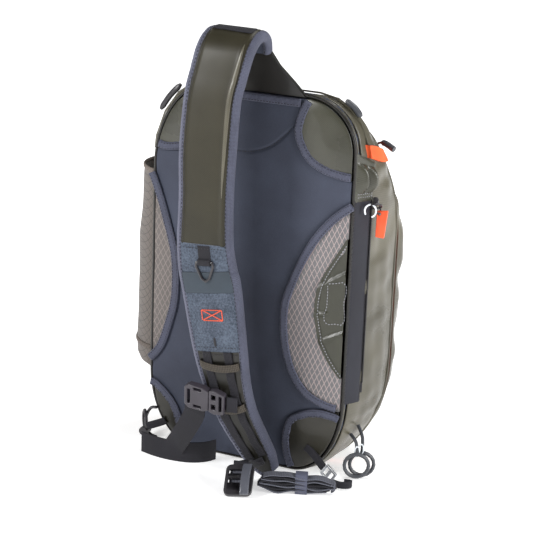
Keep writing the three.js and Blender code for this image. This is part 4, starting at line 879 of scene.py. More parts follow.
# %% [markdown]
# The middle of the panel is foam under one cloth, and it rests on the wearer's back. Foam could be
# swollen by a cloth simulation, but its bindings hold it so closely that dips beside them, a sewn crease
# and soft unevenness say it all.

# %% Back cushion
pad_z = np.linspace(SEAM_INSET + 0.0002, BAG_HEIGHT - SEAM_INSET - 0.0002, 420)
UNDER_TAPE = 0.002
right_edges = [curve_x(name, pad_z, 1) + UNDER_TAPE for name in BOUND if "right" in name]
left_edges = [curve_x(name, pad_z, -1) - UNDER_TAPE for name in BOUND if "left" in name]
pad_right = np.minimum.reduce([seam_reach(pad_z, 1)] + right_edges)
pad_left = np.maximum.reduce([seam_reach(pad_z, -1)] + left_edges)
CREASE = smooth_line(np.array([(-0.066, 0.371), (-0.022, 0.372), (0.006, 0.375), (0.024, 0.383),
                               (0.039, 0.396), (0.053, 0.413), (0.061, 0.426)]), 160)
curves["crease"] = CREASE


def pad_relief(x, z):
    """Dips beside the bindings, a sewn crease across the top, and soft unevenness of the foam."""
    dips = binding_dip(x, z, BOUND.keys(), 0.0022, 0.006)
    crease = -0.0014 * np.exp(-(distance_to("crease", x, z, 2) / 0.0017) ** 2)
    soft = 0.0007 * ripple(x, z, 45.0, 2) + 0.0002 * ripple(x, z, 160.0, 3)
    return dips + crease + soft


back_cushion = field("back_cushion", pad_z, pad_left, pad_right, 150, pad_relief, finish["slate_pad"],
                     ["back_pad"])
print("back cushion", len(pad_z), "rows")

# %% [markdown]
# Ripstop wings lie at the sides of the cushion and coated patches at its corners. Each is a field between
# its bound curve and the panel's seam. The patches puff up between the two, and the wings lie low.

# %% Wings and corner patches
CORNERS = {"top_right_corner": 1, "top_left_corner": -1, "bottom_right_corner": 1, "bottom_left_corner": -1}


def wing_rows(name, side, count):
    """Heights where a curve lies inside the seam, and its x there."""
    z = np.linspace(curves[name][:, 1].min() + 0.0004, curves[name][:, 1].max() - 0.0004, count)
    z = z[(z > SEAM_INSET) & (z < BAG_HEIGHT - SEAM_INSET)]
    x = curve_x(name, z, side)
    keep = side * (seam_reach(z, side) - x) > 0.0008
    return z[keep], x[keep]


def side_field(name, side, columns, relief, material, replaced, rows=200):
    """A field between a bound curve and the panel's seam on its side, tucked 1 mm under the curve's tape."""
    z, x = wing_rows(replaced, side, rows)
    outer = seam_reach(z, side)
    left, right = (x + 0.001, outer) if side > 0 else (outer, x - 0.001)
    return field(name, z, left, right, columns, relief, material, [replaced])


def wing_relief(x, z):
    """The wings lie 0.6 mm low, lower still beside their tape, with two sizes of soft folds."""
    dip = binding_dip(x, z, ["right_wing", "left_wing"], 0.0014, 0.005)
    return dip - 0.0006 + 0.0006 * ripple(x, z, 70.0, 12) + 0.0003 * ripple(x, z, 200.0, 13)


def corner_relief(x, z):
    """Puff = 4.2 mm * sqrt(distance to the tape * distance to the seam), each counted up to 30 mm, with
    soft folds."""
    from_tape = np.min([distance_to(name, x, z) for name in CORNERS], axis=0)
    from_seam = np.abs(np.where(x > 0, seam_reach(z, 1), seam_reach(z, -1)) - x)
    puff = 0.0042 * np.sqrt(np.clip(from_tape / 0.03, 0, 1) * np.clip(from_seam / 0.03, 0, 1))
    return puff - 0.0012 + 0.0009 * ripple(x, z, 80.0, 31) + 0.0004 * ripple(x, z, 190.0, 33)


side_field("right_wing_cloth", 1, 70, wing_relief, finish["ripstop"], "right_wing")
side_field("left_wing_cloth", -1, 60, wing_relief, finish["ripstop_brown"], "left_wing")
for corner_name, side in CORNERS.items():
    # The lower corners take the darker copy of the same olive: painted shade
    look = finish["corner_olive" if "top" in corner_name else "shaded_corner_olive"]
    side_field(corner_name + "_cloth", side, 50, corner_relief, look, corner_name, 120)
print("wings and corner patches made")

# %% [markdown]
# The right wing carries an olive patch as a second layer. Its cloth is pulled into three folds that open
# towards the side, and it is sewn down with pale thread along its curve and round a box.

# %% Wing patch
patch_z = np.linspace(0.245 * BAG_HEIGHT, 0.73 * BAG_HEIGHT, 200)
patch_x = curve_x("wing_patch", patch_z, 1)
patch_keep = seam_reach(patch_z, 1) - patch_x > 0.001
patch_z, patch_x = patch_z[patch_keep], patch_x[patch_keep]


def on_panel(line, lift):
    """Panel places (x, z) as points that far above the crown."""
    return np.stack([line[:, 0], BACK_Y - crown(line[:, 0], line[:, 1]) - lift, line[:, 1]], -1)


def ridge(x, z, start, end, width, height):
    """A fold that runs from one place to another: height * exp(-(distance to its line / width)^2), open
    at one end."""
    way = np.array(end) - np.array(start)
    share = np.clip(((x - start[0]) * way[0] + (z - start[1]) * way[1]) / (way @ way), 0, 1)
    far = np.hypot(x - start[0] - share * way[0], z - start[1] - share * way[1])
    return height * np.exp(-((far / (width * (1.2 - 0.7 * share))) ** 2))


PATCH_FOLDS = [((0.086, 0.226), (0.132, 0.258)), ((0.096, 0.166), (0.131, 0.186)),
               ((0.086, 0.196), (0.099, 0.200))]


def patch_relief(x, z):
    """Folds where the cloth is pulled, small creases between them, and a shallow groove under the seam."""
    edge = distance_to("wing_patch", x, z)
    folds = sum(ridge(x, z, start, end, 0.0034, 0.0024) for start, end in PATCH_FOLDS)
    creases = 0.0006 * np.abs(ripple(x + z, z * 0.3, 150.0, 44)) + 0.0005 * ripple(x, z, 80.0, 45)
    return 0.0004 + folds + creases - 0.0005 * np.exp(-((edge - 0.005) / 0.0012) ** 2)


field("wing_patch_cloth", patch_z, patch_x, seam_reach(patch_z, 1), 90, patch_relief, finish["patch_olive"],
      ["right_wing_patch"])
TO_WEARER = [0.0, -1.0, 0.0]
arc = curves["wing_patch"][(curves["wing_patch"][:, 0] < 0.1155)] + np.array([0.0044, 0.0])
box = smooth_line(np.array([(0.1, 0.236), (0.101, 0.2362), (0.110, 0.2375), (0.1185, 0.2387), (0.1193, 0.238),
                            (0.1195, 0.215), (0.1195, 0.192), (0.1187, 0.1906), (0.110, 0.1895),
                            (0.101, 0.1882), (0.1, 0.1887), (0.1, 0.212), (0.1, 0.235)]), 200)
for seam_name, line in (("arc", arc), ("box", box)):
    lift = patch_relief(line[:, 0], line[:, 1]) + 0.0003
    stitches(f"wing_patch_{seam_name}_stitches", on_panel(line, lift), each(TO_WEARER, len(line)),
             finish["pale_thread"], 0.0017, 0.0019, 0.0005)
print("wing patch made with", len(PATCH_FOLDS), "folds")

# %% [markdown]
# Every curved edge is bound with folded ribbed tape. It is a sweep: a low rounded profile, 9 mm wide,
# carried along the edge. Tape that turns a tight bend gathers into small puckers on its inner side.

# %% Bindings
BINDING_WIDTH = 0.0094
TAPE_LIFT = 0.0016
GATHER_STEP = 0.011  # from one pucker to the next
TAPE_SEAM = 0.62  # place of its two seams, as a share of half its width


def taped_edge(name, line, side, replaced, pucker):
    """Profile: height(s) = lift * (1 - s^4) over s from -1 to 1 across the tape, with puckers that grow
    to its rim."""
    tangent = unit(np.gradient(line, axis=0))
    across = np.stack([-tangent[:, 1], tangent[:, 0]], -1) * side
    s = np.concatenate([np.linspace(-1, 1, 15), np.linspace(1, -1, 5)[1:-1]])
    top = np.concatenate([np.ones(15), np.zeros(3)])
    middle = line + across * (BINDING_WIDTH / 2 - 0.0003)
    flat = middle[:, None, :] + across[:, None, :] * (s * BINDING_WIDTH / 2)[None, :, None]
    run = arc_length(line)[:, None]
    wave = np.sin(run * 2 * math.pi / GATHER_STEP + 2.0 * np.sin(run * 190 + 1))
    gather = pucker * 0.0005 * wave * (0.25 + np.clip(s, 0, 1))[None, :]
    tape = (TAPE_LIFT * (1 - s**4) + 0.0009)[None, :]
    height = tape * top[None, :] + gather * top[None, :] - 0.0030 * (1 - top)[None, :]
    points = np.stack([flat[..., 0], BACK_Y - crown(flat[..., 0], flat[..., 1]) - height, flat[..., 1]], -1)
    uv = np.stack([run + 0 * s[None, :], s[None, :] * BINDING_WIDTH / 2 + 0 * run], -1)
    tube(name, points, finish["slate_binding"], [replaced], False, uv)
    for seam, share in (("inner", -TAPE_SEAM), ("outer", TAPE_SEAM)):
        seam_line = on_panel(middle + across * share * BINDING_WIDTH / 2, TAPE_LIFT * (1 - share**4) + 0.0010)
        stitches(f"{name}_{seam}_stitches", seam_line, each(TO_WEARER, len(line)), finish["dim_thread"],
                 0.0020, 0.0016, 0.0004)


def inside_seam(line):
    """The part of a curve that lies inside the panel's seam."""
    z = np.clip(line[:, 1], SEAM_INSET, BAG_HEIGHT - SEAM_INSET)
    side = np.where(line[:, 0] > 0, seam_reach(z, 1) - line[:, 0], line[:, 0] - seam_reach(z, -1))
    margin = SEAM_INSET - 0.001
    keep = (side > -0.0015) & (line[:, 1] > margin) & (line[:, 1] < BAG_HEIGHT - margin)
    return smooth_line(line[keep][::6], 160)


for edge_name in BOUND:
    line = inside_seam(curves[edge_name])
    half_way = len(line) // 2
    climb = line[half_way + 1, 1] - line[half_way, 1]
    side = 1.0 if np.sign(-climb) == np.sign(line[half_way, 0]) else -1.0
    taped_edge(edge_name + "_tape", line, side, edge_name + "_binding", 0.25 if "wing" in edge_name else 0.8)

top_line = np.stack([np.linspace(-0.057, 0.057, 120), np.full(120, BAG_HEIGHT - SEAM_INSET - 0.0002)], -1)
taped_edge("top_tape", top_line, -1.0, "top_binding", 0.5)
print("bindings made", len(BOUND) + 1)

# %% [markdown]
# A piping cord runs round the whole panel in the seam, wrapped in dark tape, and the body's cloth folds
# over beside it as a welt. Both are closed tubes. The crease that is sewn across the top of the cushion
# gets its dark stitches here.

# %% Piping
PIPING_RADIUS = 0.0018
WELT_RADIUS = 0.0017
piping_index = np.arange(720) * OUTLINE_COUNT / 720
piping_x, piping_z = seam_edge(piping_index, 0.0024)
piping_line = np.stack([piping_x, np.full_like(piping_x, PANEL_FLOOR_Y - 0.0027), piping_z], -1)
ring_tube("piping_cord", piping_line, PIPING_RADIUS, finish["yoke_olive"], 14, ["edge_piping"])
crease_line = on_panel(CREASE, pad_relief(CREASE[:, 0], CREASE[:, 1]) + 0.0003)
stitches("pad_crease_stitches", crease_line, each(TO_WEARER, len(CREASE)), finish["black_thread"],
         0.0020, 0.0016, 0.00045)
welt_x, welt_z = seam_edge(piping_index, 0.0022)
welt_line = np.stack([welt_x, np.full(720, PANEL_FLOOR_Y + 0.0010), welt_z], -1)
ring_tube("seam_welt", welt_line, WELT_RADIUS, finish["coated_olive"], 10)
print("piping", round(float(arc_length(piping_line)[-1]), 3), "m")

# %% [markdown]
# The shoulder strap is a padded band that rises from the yoke, turns over and comes down in front of the
# panel. One table gives its middle line and width, and one function places a point on it: across, and out
# from its middle.

# %% Shoulder strap line
STRAP_WIDTH = 0.067
STRAP_THICK = 0.009
STRAP_REACH = 0.071
STRAP_TOP = BAG_HEIGHT + 0.072
STRAP_BINDING = 0.008
# At each row: place across, place out towards the wearer and height of the middle line, and the width
STRAP_SHARES = np.array([
    [-0.080, 0.05, 0.942, 0.93], [-0.080, 0.11, 0.963, 0.96], [-0.080, 0.22, 0.976, 0.98],
    [-0.084, 0.35, 0.981, 1.00], [-0.088, 0.48, 0.978, 1.01], [-0.094, 0.60, 0.968, 1.01],
    [-0.110, 0.71, 0.945, 1.01], [-0.140, 0.79, 0.900, 1.00], [-0.168, 0.86, 0.850, 1.00],
    [-0.176, 0.94, 0.745, 1.01], [-0.168, 0.98, 0.640, 0.97], [-0.160, 1.00, 0.545, 1.01],
    [-0.128, 0.99, 0.484, 1.06], [-0.090, 0.97, 0.441, 1.08], [-0.010, 0.91, 0.310, 1.00],
    [0.040, 0.82, 0.230, 0.90], [0.108, 0.69, 0.160, 0.80], [0.216, 0.58, 0.100, 0.72],
    [0.336, 0.50, 0.048, 0.60], [0.420, 0.46, 0.020, 0.36],
])
FACE_END, BAND_TOP, BAND_END, FELT_END, TIP = 11.0, 12.0, 13.0, 14.0, 19.0
FACE_OUT = STRAP_THICK / 2 + 0.0015
WEB_OUT = FACE_OUT + 0.0005


def read_rows(values, rows):
    """A table read between its rows: a cubic in each span, whose slope at a row is half the step between
    that row's two neighbours."""
    k = np.clip(np.floor(rows).astype(int), 0, len(values) - 2)
    t = (rows - k)[:, None]
    before, after = values[np.maximum(k - 1, 0)], values[np.minimum(k + 2, len(values) - 1)]
    a, b = values[k], values[k + 1]
    return a + 0.5 * t * (b - before
                          + t * (2 * before - 5 * a + 4 * b - after + t * (3 * (a - b) + after - before)))


def strap_frame(rows):
    """Middle point, side direction, face direction and half width of the strap at each row."""
    shares = read_rows(STRAP_SHARES, rows)
    middle = np.stack([shares[:, 0] * HALF_WIDTH, BACK_Y - shares[:, 1] * STRAP_REACH,
                       shares[:, 2] * STRAP_TOP], -1)
    ahead = read_rows(STRAP_SHARES, np.minimum(rows + 0.05, TIP))
    behind = read_rows(STRAP_SHARES, np.maximum(rows - 0.05, 0))
    step = (ahead - behind)[:, :3] * np.array([HALF_WIDTH, -STRAP_REACH, STRAP_TOP])
    tangent = unit(step)
    face = unit(np.cross(tangent, [1.0, 0.0, 0.0]))
    side = np.cross(face, tangent)
    return middle, side, face, shares[:, 3] * STRAP_WIDTH / 2


def strap_grid(rows, across, out):
    """Points on the strap: across and out are arrays of [row, column], in metres from the strap's middle."""
    middle, side, face, _ = strap_frame(rows)
    return middle[:, None, :] + side[:, None, :] * across[..., None] + face[:, None, :] * out[..., None]


def strap_run(rows):
    """Length run along the strap at each row, for laying out its cloth."""
    return arc_length(strap_frame(rows)[0])


def strap_line(rows, across, out):
    """A line on the strap, with its side and face directions: middle + across * side + out * face."""
    middle, side_way, face_way, _ = strap_frame(rows)
    line = middle + side_way * np.reshape(across, (-1, 1)) + face_way * np.reshape(out, (-1, 1))
    return line, side_way, face_way


print("strap line", round(float(strap_run(np.linspace(0, TIP, 420))[-1]), 3), "m")

# %% [markdown]
# The padding is a soft pillow between two stiff edges. Its section is a flat oval: its thickness grows as
# a power of its distance from the edge. Four cloths cover its front: olive, felt, a teal band across the
# felt, and olive again.

# %% Strap padding and faces
all_rows = np.linspace(0, TIP, 420)
half = strap_frame(all_rows)[3]
run = strap_run(all_rows)
UNDER_BINDING = STRAP_BINDING * 0.72


def strap_layer(name, first, last, inner, outer, bulge, material, replaced, columns, count, seed,
                crease=0.0, ridge_lift=0.0):
    """A sheet on the strap between two rows: height(s) = outer + bulge * (1 - |s|^3) over s from -1 to 1
    across. crease adds soft folds, and ridge_lift a low rounded ridge inside each edge."""
    at = np.linspace(first, last, count)
    width = strap_frame(at)[3] - UNDER_BINDING
    s = np.linspace(-1, 1, columns)[None, :]
    across = width[:, None] * s
    lift = bulge * (1 - np.abs(s) ** 3.0) + 0 * across
    length = strap_run(at)[:, None]
    lift = lift + ridge_lift * (np.exp(-(((s - 0.84) / 0.11) ** 2))
                                + 0.5 * np.exp(-(((s + 0.88) / 0.07) ** 2)))
    fold = crease * ripple(across * 0.7, length + 0 * across, 210.0, seed) * (1 - s**8)
    top = strap_grid(at, across, outer + lift + fold)
    bottom = strap_grid(at, across, inner + 0 * across)
    uv = np.stack([length + 0 * across, across], -1)
    return slab(name, top, bottom, material, replaced, uv)


angle = np.linspace(0, 2 * math.pi, 49)[:-1]
wide = np.sign(np.cos(angle)) * np.abs(np.cos(angle)) ** 0.45
deep = np.sign(np.sin(angle)) * np.abs(np.sin(angle)) ** 0.8
pad_across = (half[:, None] - STRAP_BINDING * 0.6) * wide[None, :]
quilted = 1 + 0.10 * ripple(run[:, None] + 0 * pad_across, pad_across, 60.0, 6)
pad_out = (STRAP_THICK / 2 - 0.0001) * deep[None, :] * np.where(deep[None, :] < 0, quilted * 1.15, 1.0)
pad_uv = np.stack([run[:, None] + 0 * pad_across, pad_across], -1)
strap_cushion = tube("strap_cushion", strap_grid(all_rows, pad_across, pad_out), finish["slate_pad"],
                     ["strap_pad"], False, pad_uv)
PAD_TOP = STRAP_THICK / 2 - 0.0006
strap_layer("strap_face_cloth", 0.0, FACE_END + 0.02, PAD_TOP, FACE_OUT - 0.0006, 0.0013,
            finish["strap_olive"], ["strap_face"], 80, 320, 15, 0.00015, 0.0013)
strap_layer("strap_felt_cloth", FACE_END, FELT_END + 0.03, PAD_TOP, FACE_OUT - 0.0001, 0.0016,
            finish["felt_grey"], ["strap_felt"], 50, 120, 16, 0.0003)
strap_layer("strap_lower_cloth", FELT_END, TIP, PAD_TOP, FACE_OUT - 0.0006, 0.0012, finish["lower_olive"],
            ["strap_lower_face"], 50, 160, 17, 0.0005)
strap_layer("strap_teal_band", BAND_TOP - 0.02, BAND_END + 0.02, FACE_OUT - 0.0001, FACE_OUT + 0.0007, 0.0017,
            finish["teal_band"], ["strap_band"], 50, 40, 18)
print("strap cushion and four cloths made")

# %% [markdown]
# Folded tape wraps both edges of the strap, sewn through with one line of stitches. Its section is a half
# round that hugs the pad's edge, and it is slightly uneven along its length, as hand-fed tape is.

# %% Strap bindings
STRAP_SEAM_INSET = 0.0058
for side, name in ((-1, "strap_binding_left"), (1, "strap_binding_right")):
    turn = np.linspace(-math.pi / 2, math.pi / 2, 13)
    edge_out = (STRAP_THICK / 2 + 0.0018) * np.sin(turn)
    edge_in = 0.0046 * np.cos(turn) ** 0.8 - 0.0046
    lip_in = -STRAP_BINDING * np.array([0.98, 0.6])
    lip_out = STRAP_THICK / 2 + np.array([0.0021, 0.0010])
    profile_in = np.concatenate([lip_in, edge_in, lip_in[::-1]])
    profile_out = np.concatenate([-STRAP_THICK / 2 - np.array([0.0010, 0.0018]), edge_out, lip_out])
    wobble = 0.00010 * np.sin(run * 2 * math.pi / 0.013 + 1.6 * np.sin(run * 61))[:, None]
    across = side * (half[:, None] + profile_in[None, :]) + side * wobble * (profile_in[None, :] < -0.003)
    out = profile_out[None, :] + wobble * (profile_out[None, :] > 0)
    lengthwise = np.concatenate([[0.0], np.cumsum(np.hypot(np.diff(profile_in), np.diff(profile_out)))])
    uv = np.stack([run[:, None] + 0 * across, lengthwise[None, :] + 0 * across], -1)
    # The left binding takes the lighter copy of the same tape: painted light on the side that faces the key
    # light
    look = finish["painted_lit_binding" if side < 0 else "slate_binding"]
    tube(name + "_tape", strap_grid(all_rows, across, out), look, [name], False, uv)
    for seam, outward in (("front", 1), ("rear", -1)):
        seam_out = outward * (STRAP_THICK / 2 + 0.0020)
        line, _, face_way = strap_line(all_rows, side * (half - STRAP_SEAM_INSET), seam_out)
        stitches(f"{name}_{seam}_stitches", line, face_way * outward, finish["dim_thread"], 0.0024, 0.0018,
                 0.00042)
print("strap bindings made")

# %% [markdown]
# Where one cloth of the strap ends and the next begins, a row of dark stitches runs across. It follows
# the cloths' bulge, so each row is worked out with the same cubic as the cloth under it.

# %% Stitch rows across the strap
for seam_name, row in (("felt_top", FACE_END + 0.12), ("felt_foot", FELT_END - 0.06),
                       ("lower_top", FELT_END + 0.10)):
    rows = np.full(60, row)
    s = np.linspace(-1, 1, 60)
    lift = FACE_OUT + 0.0014 * (1 - np.abs(s) ** 3) + 0.0003
    line, _, face_way = strap_line(rows, s * (strap_frame(rows)[3] - STRAP_BINDING), lift)
    stitches(seam_name + "_stitches", line, face_way, finish["black_thread"], 0.0024, 0.0014)
print("stitch rows made")

# %% [markdown]
# The olive face is turned under along both edges, and each fold is a fine raised seam. Near the right
# edge the cloth also rolls over the padding as one long low ridge, which fades out at both ends. The ridge
# catches the key light, and it is made of the paler body olive as a painted highlight, so it shows as a pale
# streak.

# %% Face edge seams
fading = np.sin(np.linspace(0.03, math.pi - 0.03, 260))[:, None] ** 0.6
# Place across, half width, height over the face, first and last row, whether it fades, and finish
FACE_SEAMS = {
    "right": (0.97, 0.0006, 0.0003, 3.2, FACE_END, False, "yoke_olive"),
    "left": (-0.95, 0.0005, 0.0003, 3.2, FACE_END, False, "lower_olive"),
    # The streak is a low ridge in the paler body olive: painted highlight along the rolled edge
    "streak": (0.89, 0.0030, 0.0016, 5.2, 9.9, True, "coated_olive"),
}
for seam_name, (share, wide, over, first, last, fades, look) in FACE_SEAMS.items():
    rows = np.linspace(first, last, 260)
    line, side_way, face_way = strap_line(rows, share * (strap_frame(rows)[3] - STRAP_BINDING),
                                          FACE_OUT + over)
    half_side = side_way * wide * (fading if fades else 1.0)
    tube(f"face_seam_{seam_name}", round_section(line, 1.0, 8, half_side, face_way * 0.0005), finish[look])
print("face seams", len(FACE_SEAMS))

# %% [markdown]
# Webbing is woven flat and stays flat: a thin rectangle with rounded edges carried along the strap. The
# cross pieces bulge a little between their stitches, because the strap under them is bent.

# %% Webbing on the strap


def web_section(width, thick, columns=12):
    """Across and out of a flat webbing's section: two faces joined by half-round edges."""
    s = np.linspace(-1, 1, columns)
    cap = np.linspace(math.pi / 2, -math.pi / 2, 5)[1:-1]
    radius = thick / 2
    flat = width / 2 - radius
    across = np.concatenate([s * flat, flat + np.cos(cap) * radius, -s * flat, -flat - np.cos(cap) * radius])
    face = np.full(columns, radius)
    return across, np.concatenate([face, np.sin(cap) * radius, -face, -np.sin(cap) * radius])


def webbing(name, line, side, out, width, thick, material, replaced=(), sag=0.0):
    """A flat webbing along a line with its side and out directions; sag bows it: out = sag * (1 - s^2)
    across."""
    across, deep = web_section(width, thick)
    bow = sag * (1 - (across / (width / 2)) ** 2)
    rings = (line[:, None, :] + side[:, None, :] * across[None, :, None]
             + out[:, None, :] * (deep + bow)[None, :, None])
    run = arc_length(line)[:, None]
    uv = np.stack([run + 0 * across[None, :], across[None, :] + 0 * run], -1)
    return tube(name, rings, material, replaced, False, uv)


WEB_THICK = 0.0018
DAISY_WIDTH = 0.0105
for name, share in (("daisy_web_left", -0.42), ("daisy_web_right", 0.38)):
    rows = np.linspace(FELT_END + 0.03, TIP - 1.2, 140)
    wave = 0.0007 * np.sin(strap_run(rows) * 210 + share * 4)
    line, side_way, face_way = strap_line(rows, share * strap_frame(rows)[3], WEB_OUT + WEB_THICK / 2 + wave)
    webbing(name + "_tape", line, side_way, face_way, DAISY_WIDTH, WEB_THICK, finish["webbing"], [name])
for name, row in (("cross_web_upper", FELT_END + 0.36), ("cross_web_lower", FELT_END + 1.74)):
    rows = np.full(40, row)
    s = np.linspace(-1, 1, 40)
    reach = strap_frame(rows)[3] - STRAP_BINDING - 0.0003
    bulge = 0.0026 * np.clip(np.cos(s * math.pi / 2), 0, None) ** 0.7 - 0.0016 * s**12
    line, side_way, face_way = strap_line(rows, s * reach, WEB_OUT + 0.0020 + bulge)
    down = np.cross(side_way, face_way)
    droop = (0.0030 * (1 - s**2) + 0.0012 * s) * np.sign(-down[0, 2])
    webbing(name + "_tape", line + down * droop[:, None], down, face_way, 0.0094, WEB_THICK,
            finish["olive_webbing"], [name], 0.0006)
line, side_way, face_way = strap_line(np.linspace(3.0, 4.0, 30), 0.0, WEB_OUT + WEB_THICK / 2)
webbing("apex_patch_tape", line, side_way, face_way, 0.048, WEB_THICK, finish["webbing"],
        ["strap_apex_patch"])
print("webbing on the strap made")

# %% [markdown]
# The yoke is the folded piece of coated cloth that carries the strap. It is a thick sheet that narrows
# upwards, with an uneven surface where the cloth is pulled.

# %% Yoke
s = np.linspace(-1, 1, 60)[None, :]
t = np.linspace(0, 1, 70)[:, None]
end_middle = strap_frame(np.array([0.0]))[0][0]
yoke_half = np.interp(t, [0, 0.35, 0.7, 1.0], np.array([1.06, 0.84, 0.60, 0.465]) * STRAP_WIDTH)
yoke_x = (-0.064 * HALF_WIDTH) * (1 - t) + end_middle[0] * t + s * yoke_half
yoke_y = (PANEL_FLOOR_Y - 0.0024) * (1 - t) + end_middle[1] * t + 0 * s
yoke_z = (BAG_HEIGHT - 0.004) * (1 - t) + (end_middle[2] + 0.001) * t + 0 * s
rumple = 0.0011 * ripple(yoke_x, yoke_z, 130.0, 8) * (1 - np.abs(s) ** 6)
yoke_top = np.stack([yoke_x, yoke_y - 0.0021 - 0.0008 * (1 - s**4) - rumple, yoke_z], -1)
yoke_back = np.stack([yoke_x, yoke_y + 0.0021 + 0.0006 * (1 - s**4), yoke_z], -1)
yoke_uv = np.stack([yoke_z, yoke_x], -1)
slab("yoke_cloth", yoke_top, yoke_back, finish["yoke_olive"], ["yoke"], yoke_uv)
print("yoke made")

# %% [markdown]
# The side zip lies on the right wall: a flat strip of cloth, a coil beside it, and a welt. Each follows
# the wall's own curve, because its x is read from the body's half width at that depth.

# %% Side zip
STRIP_BACK = RIM_Y - 0.0064
STRIP_FRONT = RIM_Y + 0.014
STRIP_BASE = 0.21 * BAG_HEIGHT
STRIP_TOP = 0.752 * BAG_HEIGHT
COIL_WIRE = 0.0004


def wall_x(y):
    """Half width of the body at a depth, where its side is straight."""
    return smooth_shares((y - BACK_Y) / BAG_DEPTH)[0] * HALF_WIDTH


def wall_patch(name, y_from, y_to, z_from, z_to, lift, thick, material, replaced, relief=None, rows=220,
               columns=24):
    """A thin sheet on the right wall: x = wall + lift + thick * (1 - s^6) + relief, over s from -1 to 1
    across."""
    z = np.linspace(z_from, z_to, rows)[:, None]
    y = np.linspace(y_from, y_to, columns)[None, :]
    edge = 1 - np.abs(np.linspace(-1, 1, columns))[None, :] ** 6
    raised = lift + thick * edge + (relief(y, z) if relief else 0.0) + 0 * z
    top = np.stack([wall_x(y) + raised, y + 0 * z, z + 0 * y], -1)
    bottom = np.stack([wall_x(y) + lift - 0.0012 + 0 * z, y + 0 * z, z + 0 * y], -1)
    return slab(name, top, bottom, material, replaced, np.stack([z + 0 * y, y + 0 * z], -1))


wall_patch("zip_strip_cloth", STRIP_BACK, STRIP_FRONT, STRIP_BASE, STRIP_TOP, 0.0006, 0.0013,
           finish["dark_slate"], ["side_zip_strip"],
           lambda y, z: 0.0004 * ripple(y * 2, z, 140.0, 51))
coil_y = STRIP_FRONT + 0.0018
coil_z = np.linspace(STRIP_BASE + 0.05 * BAG_HEIGHT, STRIP_TOP - 0.02 * BAG_HEIGHT, 1500)
coil_turn = np.arange(len(coil_z)) * 2 * math.pi / 9
coil_x = wall_x(np.full_like(coil_z, coil_y)) + 0.0016 + 0.0007 * np.sin(coil_turn)
coil_line = np.stack([coil_x, coil_y + 0.0012 * np.cos(coil_turn), coil_z], -1)
along = unit(np.gradient(coil_line, axis=0))
coil_out = unit(np.cross(along, [0.3, 1.0, 0.1]))
coil_rings = round_section(coil_line, COIL_WIRE, 5, coil_out, np.cross(along, coil_out))
tube("zip_coil", coil_rings, finish["black_plastic"], ["side_zip_coil"])
wall_patch("zip_tape_cloth", STRIP_FRONT + 0.0002, STRIP_FRONT + 0.0034, STRIP_BASE + 0.01, STRIP_TOP,
           0.0005, 0.0004, finish["webbing"], [], None, 160, 10)
edge_run = np.linspace(STRIP_BASE, STRIP_TOP + 0.002, 200)
tooth_line = np.stack([wall_x(np.full(200, STRIP_BACK)) + 0.0012, np.full(200, STRIP_BACK + 0.0004),
                       edge_run], -1)
stitches("edge_teeth", tooth_line, each([0.4, -0.9, 0.0], 200), finish["black_thread"], 0.0021, 0.0017,
         0.0013)
seam_y = np.full(200, STRIP_FRONT - 0.0014)
TO_RIGHT = [1.0, 0.0, 0.0]
stitches("zip_strip_front_stitches", np.stack([wall_x(seam_y) + 0.0020, seam_y, edge_run], -1),
         each(TO_RIGHT, 200), finish["black_thread"], 0.0022, 0.0013, 0.00025)
print("side zip", round(STRIP_TOP - STRIP_BASE, 3), "m long")

# %% [markdown]
# The side pocket is a pouch of stretch knit on the left wall, open at the top. Its face bulges as a flat
# sine between its seams, and a darker hem is sewn near the foot.

# %% Side pocket
# How far the pocket stands out, as a share of its depth, at shares of its height
POCKET = np.array([[0.000, 0.00], [0.008, 0.80], [0.035, 1.00], [0.10, 1.04], [0.35, 1.0], [0.65, 0.92],
                   [0.90, 0.74], [1.000, 0.66]])
POCKET_DEPTH = 0.021
pocket_low, pocket_high = 0.20 * BAG_HEIGHT, 0.742 * BAG_HEIGHT
pocket_back, pocket_front = RIM_Y + 0.003, BACK_Y + 0.53 * BAG_DEPTH
v = np.concatenate([np.linspace(0, 0.04, 14), np.linspace(0.04, 1, 110)[1:]])[:, None]
u = ((1 - np.cos(np.linspace(0, math.pi, 60))) / 2)[None, :]


def pocket_face(wall):
    """The pocket's cloth, drawn in by a wall: x is the bag's wall plus the bulge at that height."""
    y = (pocket_back + wall) * (1 - u) + (pocket_front - wall) * u
    proud = np.interp(v, POCKET[:, 0], POCKET[:, 1])
    lift = (POCKET_DEPTH - wall) * proud * np.sin(math.pi * u) ** 0.55
    wrinkle = 0.0020 * ripple(y + 0 * v, v * 0.12 + 0 * y, 120.0, 61) * np.sin(math.pi * u)
    z = pocket_low * (1 - v) + pocket_high * v + 0 * y
    return np.stack([-(wall_x(y) + 0.0005 + lift + wrinkle) + 0 * v, y + 0 * v, z], -1)


slab("pocket_cloth_face", pocket_face(0.0), pocket_face(0.0018), finish["pocket_knit"], ["side_pocket"])
for hem_name, at in (("top", 1.0), ("low", 0.10)):
    line = smooth_line(pocket_face(-0.0002)[int(np.argmin(np.abs(v[:, 0] - at)))], 120)
    out = 0.0014 * unit(np.cross(unit(np.gradient(line, axis=0)), [0.0, 0.0, 1.0]))
    rings = round_section(line, 1.0, 10, out, each([0.0, 0.0, 0.0030], 120))
    tube(f"pocket_hem_{hem_name}", rings, finish["pocket_cloth"], ())
print("side pocket", round(pocket_high - pocket_low, 3), "m tall")

# %% [markdown]
# Above the side zip a flap of olive cloth covers the main zip's end, and the open main zip shows a wedge
# of orange lining. Both are sheets laid on the body's skin, whose x is read back from the body surface at
# each depth and height.

# %% Flap and wedge


